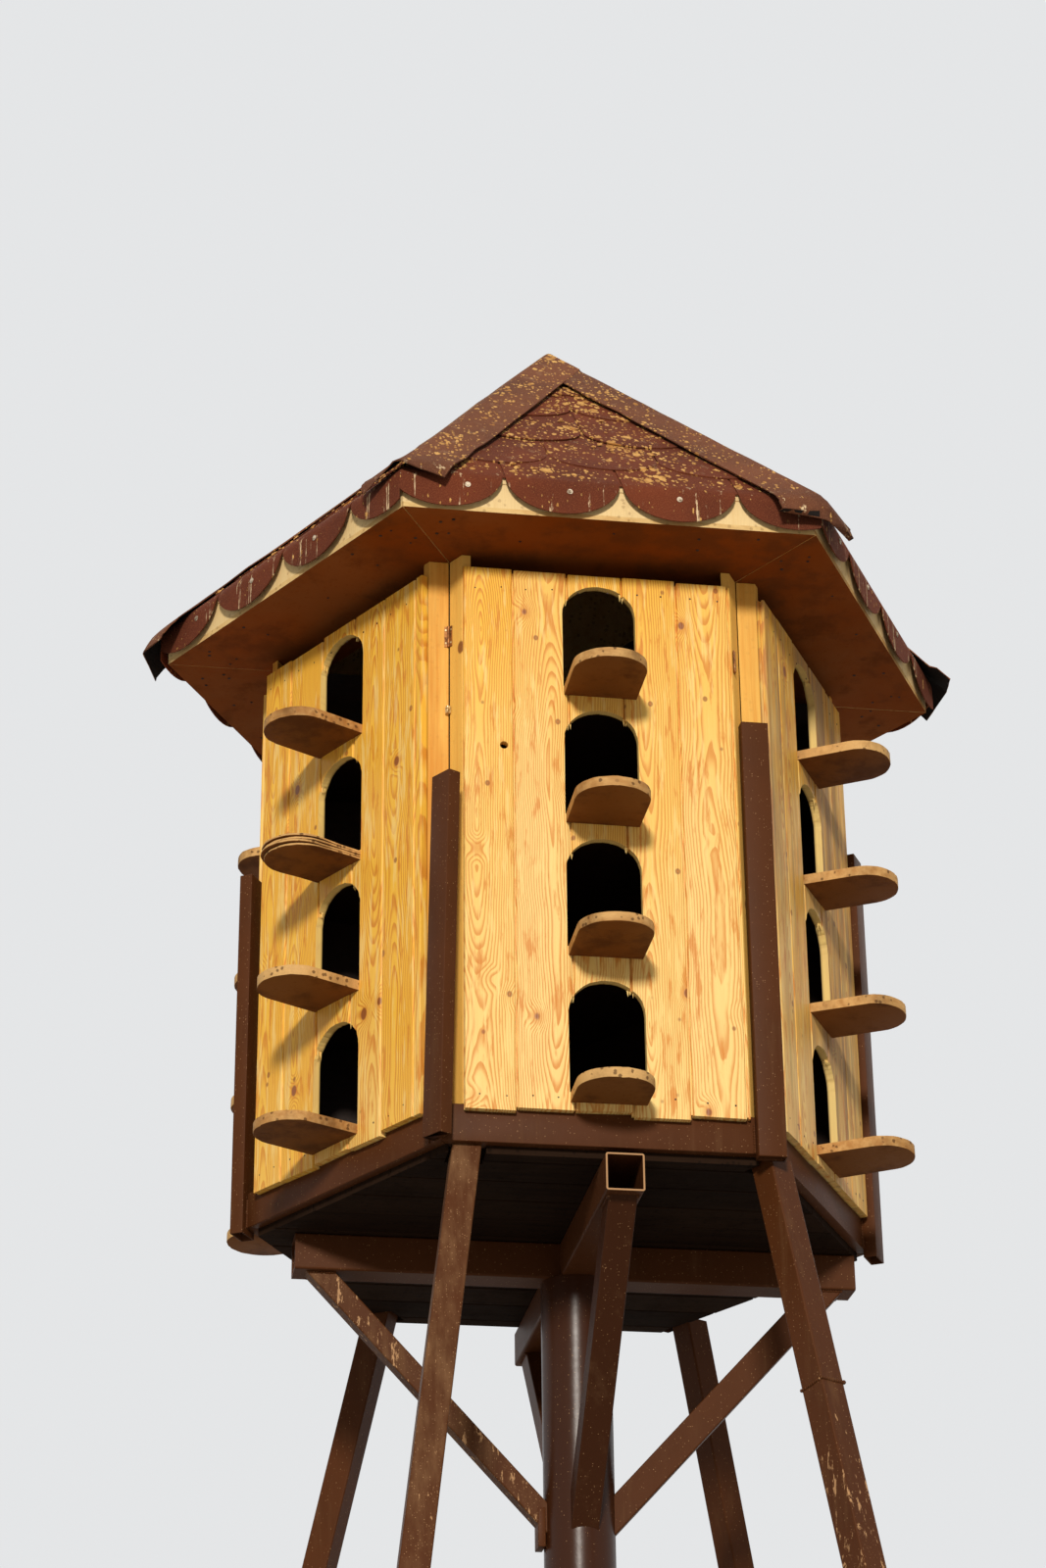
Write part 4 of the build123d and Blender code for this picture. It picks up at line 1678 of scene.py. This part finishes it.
@dataclass
class Roof:
    """Soffit, fascia, boards, shingled felt and hip caps."""

    base_lift: float = 0.0124
    sheet: float = 0.0026
    tab_width: float = 0.244
    tab_pitch: float = 0.248
    tab_crown: float = 0.100
    tab_length: float = 0.300
    course_starts: Tuple[float, ...] = (0.112, 0.336, 0.562, 0.786)
    course_joints: Tuple[float, ...] = (-0.114, -0.008, -0.005, 0.119)
    eave_pitch: float = 0.257
    eave_width: float = 0.251
    eave_crown: float = 0.086
    eave_joint: float = 0.022
    eave_drop: float = 0.082
    cap_half: float = 0.112
    crumbs: int = 170
    cap_lift: float = 0.0062
    washers: Tuple[float, ...] = (-0.315, -0.092, 0.150)
    washer_out: float = 0.0168
    cap_order: Tuple[Side, ...] = (
        Side.REAR,
        Side.REAR_LEFT,
        Side.REAR_RIGHT,
        Side.FRONT_RIGHT,
        Side.FRONT,
        Side.FRONT_LEFT,
    )
    cap_ends: Dict[Side, CapEnd] = field(
        default_factory=lambda: {
            Side.FRONT: CapEnd(0.085, 0.9),
            Side.FRONT_RIGHT: CapEnd(0.050, 0.0, 0.10),
            Side.REAR_RIGHT: CapEnd(0.078, 0.6),
            Side.REAR: CapEnd(0.080, 0.4, 0.15),
            Side.REAR_LEFT: CapEnd(0.080, 0.4),
            Side.FRONT_LEFT: CapEnd(0.012, 0.0, 0.0, 0.6, 0.08),
        }
    )

    def build(self, nodes: Dict[str, Piece]) -> None:
        """Build and dress the roof.

        Args:
            nodes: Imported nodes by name.
        """
        self.build_soffit()
        sheltered = Timber(
            light=paint(246, 216, 156),
            deep=paint(226, 178, 106),
            stain=paint(126, 80, 42),
            dirt=0.35,
        ).dress("fascia_pine")
        for name in ("fascia", "roof_boards"):
            nodes[name].data.materials.clear()
            nodes[name].data.materials.append(sheltered)
        self.build_felt()
        self.build_caps()
        self.build_crumbs()
        self.build_fixings()

    def build_soffit(self) -> None:
        """Build the six mitred boards under the eaves."""
        boards = []
        chance = random.Random(9)
        for side in Side:
            wide = HOUSE.soffit_apothem * math.tan(math.radians(30)) + 0.02
            board = Bench.block(
                "soffit_board",
                (-wide, -HOUSE.soffit_apothem, HOUSE.soffit_bottom + chance.uniform(0, 0.0008)),
                (wide, -HOUSE.soffit_inner, HOUSE.soffit_top),
            )
            self.mitre(board, 0.0010)
            tone = chance.random()
            Bench.mark(board, "board", lambda at, value=tone: value)
            Bench.set_down(board, side)
            boards.append(board)
        soffit = Bench.join(boards, "soffit_boards")
        finish = Timber(
            light=paint(240, 206, 142),
            deep=paint(206, 150, 84),
            stain=paint(92, 50, 20),
            grain=(16.0, 16.0, 40.0),
            dirt=0.35,
            # Painted shade: the underside of the soffit takes this darker orange-brown
            under=paint(126, 60, 10),
            rough=0.8,
            shine=0.08,
        ).dress("soffit_ply")
        Bench.hand_over(soffit, finish, "soffit_wood", ["soffit"])
        self.build_soffit_nails()

    def build_soffit_nails(self) -> None:
        """Build the pairs of dark nail heads under the eaves."""
        heads = []
        level = HOUSE.soffit_bottom - 0.0002
        for side in Side:
            chance = random.Random(side.value + 21)
            for across in (-0.37, -0.345, -0.19, 0.02, 0.21, 0.33, 0.36):
                for inward in (0.045, 0.105):
                    if chance.random() < 0.25:
                        continue
                    place = (
                        across + chance.uniform(-0.012, 0.012),
                        -HOUSE.soffit_apothem + inward + chance.uniform(-0.01, 0.01),
                        level,
                    )
                    radius = chance.uniform(0.0028, 0.0042)
                    head = Bench.rod("nail", radius, 0.0012, place, 9)
                    head = Bench.ease(head, 0.0004, 1)
                    Bench.set_down(head, side)
                    heads.append(head)
        nails = Bench.join(heads, "soffit_nails")
        finish = Metal(paint(44, 28, 20), paint(24, 14, 10), 0.7, 0.1).dress("rusty_nail")
        Bench.hand_over(nails, finish, "hinge_metal")

    def mitre(self, piece: Piece, gap: float) -> Piece:
        """Saw both ends of a piece at the front to the corners of the house.

        Args:
            piece: Piece at the front side.
            gap: Room left at each end.

        Returns:
            The same piece.
        """
        for hand in (1, -1):
            outward = (hand * math.cos(math.radians(30)), math.sin(math.radians(30)), 0)
            place = (-outward[0] * gap, -outward[1] * gap, 0)
            Bench.trim(piece, place, outward)
        return piece

    def lay(self, piece: Piece) -> Piece:
        """Lay a piece made flat on the front slope: X across, Y up the slope, Z outward."""
        place = (0, -HOUSE.soffit_apothem, HOUSE.fascia_top)
        return Bench.move(piece, place, (HOUSE.roof_turn, 0, 0))

    def build_felt(self) -> None:
        """Build the courses of round tabs on the six faces."""
        tab = self.make_tab()
        hanging = self.make_hanging_tab()
        faces = []
        for side in Side:
            chance = random.Random(side.value + 3)
            sheets = [self.make_base()]
            for start, joint in zip(self.course_starts, self.course_joints):
                half = (HOUSE.slope_length - start) / HOUSE.slope_length * 0.46
                first = math.floor((-half - joint) / self.tab_pitch)
                last = math.ceil((half - joint) / self.tab_pitch)
                for number in range(first, last):
                    shingle = Bench.copy(tab, "shingle")
                    across = joint + (number + 0.5) * self.tab_pitch + chance.uniform(-0.002, 0.002)
                    tilt = -0.0105 - chance.uniform(0.0, 0.012)
                    Bench.move(
                        shingle,
                        (across, start + chance.uniform(-0.004, 0.004), self.base_lift + 0.0046),
                        (tilt, 0, chance.uniform(-0.006, 0.006)),
                    )
                    tone = chance.random()
                    Bench.mark(shingle, "board", lambda at, value=tone: value)
                    sheets.append(shingle)
            for number in (-2, -1, 0, 1):
                drop = Bench.copy(hanging, "hanging_tab")
                across = self.eave_joint + (number + 0.5) * self.eave_pitch
                Bench.move(drop, (across, 0, 0))
                tone = chance.random()
                Bench.mark(drop, "board", lambda at, value=tone: value)
                sheets.append(drop)
            face = Bench.join(sheets, "felt_face")
            self.lay(face)
            self.mitre(face, 0.0)
            Bench.set_down(face, side)
            faces.append(face)
        Bench.drop(tab)
        Bench.drop(hanging)
        felt = Bench.join(faces, "felt_shingles")
        Bench.smooth(felt, 30)
        Bench.hand_over(felt, Felt().dress("brown_felt"), "roof_felt", ["felt"])

    def make_base(self) -> Piece:
        """Underlay of one face, flat."""
        base = Bench.block(
            "underlay", (-0.47, 0.002, self.base_lift - 0.0004), (0.47, 1.16, self.base_lift + 0.0012)
        )
        return Bench.mark(base, "board", lambda at: 0.9)

    def make_tab(self) -> Piece:
        """One shingle, flat, with its round end at the origin and its length along +Y."""
        tab = Bench.arch(
            "tab", self.tab_width, self.tab_length, self.tab_crown, self.sheet, 8
        )
        Bench.move(tab, (0, 0, 0), (0, 0, math.pi))
        Bench.move(tab, (0, self.tab_length, 0))
        Bench.score(tab, [(0, 0.05, 0), (0, 0.1, 0), (0, 0.2, 0)], (0, 1, 0))
        Bench.roughen(tab, 0.0005, 3)
        return tab

    def make_hanging_tab(self) -> Piece:
        """One eave tab, bent over the edge of the roof: Y up the slope, hanging below 0."""
        tab = Bench.arch(
            "hanging_tab", self.eave_width, self.tab_length, self.eave_crown, self.sheet, 10
        )
        Bench.move(tab, (0, 0, 0), (0, 0, math.pi))
        lift = self.base_lift + 0.0016
        Bench.move(tab, (0, self.tab_length - self.eave_drop, lift))
        folds = (0.010, 0.003, -0.004, -0.011, -0.018)
        hanging = (-0.030, -0.045, -0.060, -0.072)
        Bench.score(tab, [(0, at, 0) for at in folds + hanging], (0, 1, 0))
        turn = (math.pi / 2 - HOUSE.roof_turn) / len(folds)
        bent = 0.0
        pivot = Vector((0, folds[0], lift))
        with Bench.edit(tab):
            for order, fold in enumerate(folds):
                below = Vector((0, -math.cos(bent), -math.sin(bent)))
                Bench.pick(
                    Element.CORNER, lambda at, _: (at - pivot).dot(below) > 0.0012 and at.y < 0.02
                )
                Bench.bend(tab, "X", turn, pivot)
                bent += turn
                if order + 1 < len(folds):
                    step = Vector((0, -math.cos(bent), -math.sin(bent)))
                    pivot = pivot + step * (fold - folds[order + 1])
        return tab

    def build_caps(self) -> None:
        """Build the folded strips along the six hips, each lapped over the one before it."""
        caps = []
        for order, side in enumerate(self.cap_order):
            cap = self.make_cap(side, self.cap_ends[side], order)
            tone = (order * 0.37) % 1
            Bench.mark(cap, "board", lambda at, value=tone: value)
            Bench.set_down(cap, side)
            caps.append(cap)
        joined = Bench.join(caps, "folded_caps")
        Bench.smooth(joined, 50)
        finish = Felt(
            base=paint(122, 72, 46),
            shade=paint(88, 52, 36),
            chip=paint(152, 104, 72),
            growth=0.62,
        ).dress("grey_felt")
        Bench.hand_over(joined, finish, "cap_felt", ["hip_caps"])

    def make_cap(self, side: Side, end: CapEnd, order: int) -> Piece:
        """One cap, over the hip at the right-hand end of the front face.

        Args:
            side: Side of the house that the cap will be turned to.
            end: How its lower end has bent with age.
            order: Its place in the order of laying, which sets how high it lies.

        Returns:
            The cap.
        """
        turn = HOUSE.roof_turn
        rise = math.sin(turn) * math.cos(math.radians(30))
        lean = math.hypot(rise, math.cos(turn))
        fold = math.acos(lean)
        run = HOUSE.soffit_apothem / math.cos(math.radians(30))
        hip_turn = math.atan2(HOUSE.roof_rise, run)
        length = math.hypot(HOUSE.roof_rise, run)
        half = self.cap_half
        cap = Bench.block("cap", (-half, -end.reach, 0.0), (half, length + 0.03, self.sheet))
        columns = (-0.085, -0.05, -0.009, -0.003, 0.003, 0.009, 0.05, 0.085)
        Bench.score(cap, [(x, 0, 0) for x in columns], (1, 0, 0))
        rows = [-0.062, -0.05, -0.036, -0.022, -0.008, 0.008, 0.03]
        rows += [0.06 + 0.08 * number for number in range(14)]
        Bench.score(cap, [(0, y, 0) for y in rows], (0, 1, 0))
        # Mark the underside of the cap, which the felt colours near black, partly as painted shade
        Bench.mark(cap, "under", lambda at: 1.0 if at.z < 0.0004 else 0.0)
        Bench.roughen(cap, 0.0007, side.value)
        corner = HOUSE.soffit_apothem * math.tan(math.radians(30))
        with Bench.edit(cap):
            end.hang_flaps(cap, math.atan2(corner, HOUSE.slope_length))
            for hand in (1, -1):
                for crease in (0.003, 0.009):
                    Bench.pick(Element.CORNER, lambda at, _: hand * at.x > crease - 0.0012)
                    Bench.bend(cap, "Y", hand * fold / 2, (hand * crease, 0, 0))
            end.shape(cap)
            chance = random.Random(side.value + 1)
            for row in (rows[number] for number in range(6, len(rows), 3)):
                for hand in (1, -1):
                    push = chance.uniform(-0.004, 0.005)
                    Bench.pick(
                        Element.CORNER,
                        lambda at, _: abs(at.y - row) < 0.03 and hand * at.x > half * 0.85,
                    )
                    bpy.ops.transform.translate(value=(hand * push, 0, abs(push) * 0.5))
        lift = (self.base_lift + self.cap_lift + 0.0012 * order) / lean
        Bench.move(cap, (0, 0, lift))
        Bench.move(cap, (0, -run, HOUSE.fascia_top), (hip_turn, 0, 0))
        for hand in (1, -1):
            Bench.trim(cap, (0, 0, 0), (hand * 0.5, math.cos(math.radians(30)), 0))
        return Bench.move(cap, (0, 0, 0), (0, 0, math.radians(30)))

    def build_crumbs(self) -> None:
        """Build the thick crusts of lichen, as lumps that stand up from the felt."""
        kinds = []
        for number in range(5):
            Bench.clear()
            bpy.ops.mesh.primitive_ico_sphere_add(subdivisions=2, radius=1.0)
            kinds.append(Bench.roughen(Bench.settle(bpy.context.object), 0.35, number))
        faces = []
        corner = HOUSE.soffit_apothem * math.tan(math.radians(30))
        for side in Side:
            chance = random.Random(side.value + 60)
            lumps = []
            for number in range(self.crumbs):
                share = chance.uniform(0.03, 0.97) if number % 3 else chance.uniform(0.5, 0.99)
                half = corner * (1 - share)
                across = chance.uniform(-half, half) if number % 4 else half * 0.96
                lump = Bench.copy(chance.choice(kinds), "lump")
                wide = 0.0018 + 0.0050 * chance.random() ** 2
                lump.scale = (wide, wide * chance.uniform(0.8, 1.6), wide * 0.5)
                Bench.move(lump, (0, 0, 0), (0, 0, chance.uniform(0, math.pi)))
                lift = self.base_lift + self.sheet + 0.0045
                lumps.append(Bench.move(lump, (across, share * HOUSE.slope_length, lift)))
            face = Bench.join(lumps, "crumbs")
            self.lay(face)
            faces.append(Bench.set_down(face, side))
        for kind in kinds:
            Bench.drop(kind)
        crumbs = Bench.join(faces, "lichen_crumbs")
        Bench.smooth(crumbs, 60)
        finish = Felt(
            base=paint(214, 160, 92),
            shade=paint(168, 112, 58),
            chip=paint(240, 200, 138),
            growth=0.0,
        ).dress("lichen_crust")
        Bench.hand_over(crumbs, finish, "roof_felt")

    def build_fixings(self) -> None:
        """Build the washers and nails that hold the eave tabs."""
        washers = []
        for side in Side:
            for across in self.washers:
                washer = Bench.rod("washer", 0.0066, 0.0016, (0, 0, 0), 14)
                with Bench.edit(washer):
                    Bench.pick(Element.FACE, lambda _, way: way.z > 0.9)
                    bpy.ops.mesh.inset(thickness=0.0030)
                    bpy.ops.mesh.extrude_region_move(
                        TRANSFORM_OT_translate={"value": (0, 0, 0.0014)}
                    )
                Bench.ease(washer, 0.0004, 1)
                level = HOUSE.fascia_top - 0.018
                front = -HOUSE.soffit_apothem - self.washer_out
                Bench.move(washer, (across, front, level), (math.pi / 2, 0, 0))
                Bench.set_down(washer, side)
                washers.append(washer)
        joined = Bench.join(washers, "tab_washers")
        finish = Metal(paint(196, 180, 156), paint(120, 98, 76), 0.5, 0.5).dress("zinc")
        Bench.hand_over(joined, finish, "hinge_metal")


@dataclass
class Studio:
    """Floor, light and camera."""

    eye: Point = (-1.2369, -7.1442, 1.5511)
    yaw: float = 9.009
    pitch: float = 26.244
    roll: float = -0.598
    lens: float = 79.47

    def build(self) -> None:
        """Build the floor, the light and the camera."""
        Bench.clear()
        bpy.ops.mesh.primitive_plane_add(size=60, location=(0, 0, -0.0005))
        floor = bpy.context.object
        floor.name = "floor"
        Bench.settle(floor)
        mix = Recipe("pale_floor")
        tone = mix.noise(mix.place(), 1.5, 4.0)
        colour = mix.blend(tone, paint(214, 213, 210), paint(206, 205, 202))
        floor.data.materials.append(mix.bake(colour, 0.8))
        self.light()
        self.set_camera()

    def light(self) -> None:
        """Set a broad key light in front, a weak one behind and the world."""
        for name, turn, tilt, power, spread in (
            ("key", -12.0, 73.0, 2.75, 8.0),
            ("back", 150.0, 50.0, 0.3, 40.0),
        ):
            bpy.ops.object.light_add(type="SUN", location=(0, -3, 8))
            lamp = bpy.context.object
            lamp.name = name
            lamp.data.energy = power
            lamp.data.angle = math.radians(spread)
            lamp.data.color = (1.0, 0.94, 0.85)
            lamp.rotation_euler = (math.radians(tilt), 0, math.radians(turn))
        world = bpy.data.worlds.new("studio")
        bpy.context.scene.world = world
        world.use_nodes = True
        tree = world.node_tree
        tree.nodes.clear()
        path = tree.nodes.new("ShaderNodeLightPath")
        seen = tree.nodes.new("ShaderNodeMath")
        seen.operation = "MAXIMUM"
        tree.links.new(path.outputs["Is Camera Ray"], seen.inputs[0])
        both = tree.nodes.new("ShaderNodeMath")
        both.operation = "MAXIMUM"
        tree.links.new(path.outputs["Is Glossy Ray"], both.inputs[0])
        tree.links.new(path.outputs["Is Transmission Ray"], both.inputs[1])
        tree.links.new(both.outputs[0], seen.inputs[1])
        soft = tree.nodes.new("ShaderNodeBackground")
        soft.inputs["Color"].default_value = (1.0, 0.94, 0.86, 1.0)
        soft.inputs["Strength"].default_value = 0.27
        pale = tree.nodes.new("ShaderNodeBackground")
        pale.inputs["Color"].default_value = (0.78, 0.79, 0.80, 1.0)
        share = tree.nodes.new("ShaderNodeMixShader")
        tree.links.new(seen.outputs[0], share.inputs[0])
        tree.links.new(soft.outputs[0], share.inputs[1])
        tree.links.new(pale.outputs[0], share.inputs[2])
        out = tree.nodes.new("ShaderNodeOutputWorld")
        tree.links.new(share.outputs[0], out.inputs[0])
        bpy.context.scene.view_settings.view_transform = "Standard"

    def set_camera(self) -> None:
        """Set the camera that was fitted to the photograph."""
        yaw, pitch, roll = (math.radians(value) for value in (self.yaw, self.pitch, self.roll))
        ahead = Vector(
            (
                math.sin(yaw) * math.cos(pitch),
                math.cos(yaw) * math.cos(pitch),
                math.sin(pitch),
            )
        )
        right = Vector((math.cos(yaw), -math.sin(yaw), 0))
        above = right.cross(ahead)
        right_rolled = right * math.cos(roll) + above * math.sin(roll)
        above_rolled = above * math.cos(roll) - right * math.sin(roll)
        turn = Matrix((right_rolled, above_rolled, -ahead)).transposed()
        data = bpy.data.cameras.new("camera")
        data.lens = self.lens
        data.sensor_width = 36.0
        data.clip_end = 200.0
        camera = bpy.data.objects.new("camera", data)
        camera.matrix_world = Matrix.Translation(self.eye) @ turn.to_4x4()
        bpy.context.scene.collection.objects.link(camera)
        bpy.context.scene.camera = camera


def main() -> None:
    """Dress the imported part."""
    logging.basicConfig(level=logging.INFO, format="%(name)s: %(message)s")
    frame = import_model()
    nodes = frame["nodes"]
    Walls().build()
    Perches().build()
    CornerTimbers().build(nodes)
    Nests().build(nodes)
    Stand().build(nodes)
    Roof().build(nodes)
    Studio().build()
    brass = Metal(paint(168, 110, 56), paint(112, 68, 32), 0.45, 0.5).dress("hinge_brass")
    nodes["hinges"].data.materials.clear()
    nodes["hinges"].data.materials.append(brass)


if __name__ == "__main__":
    main()
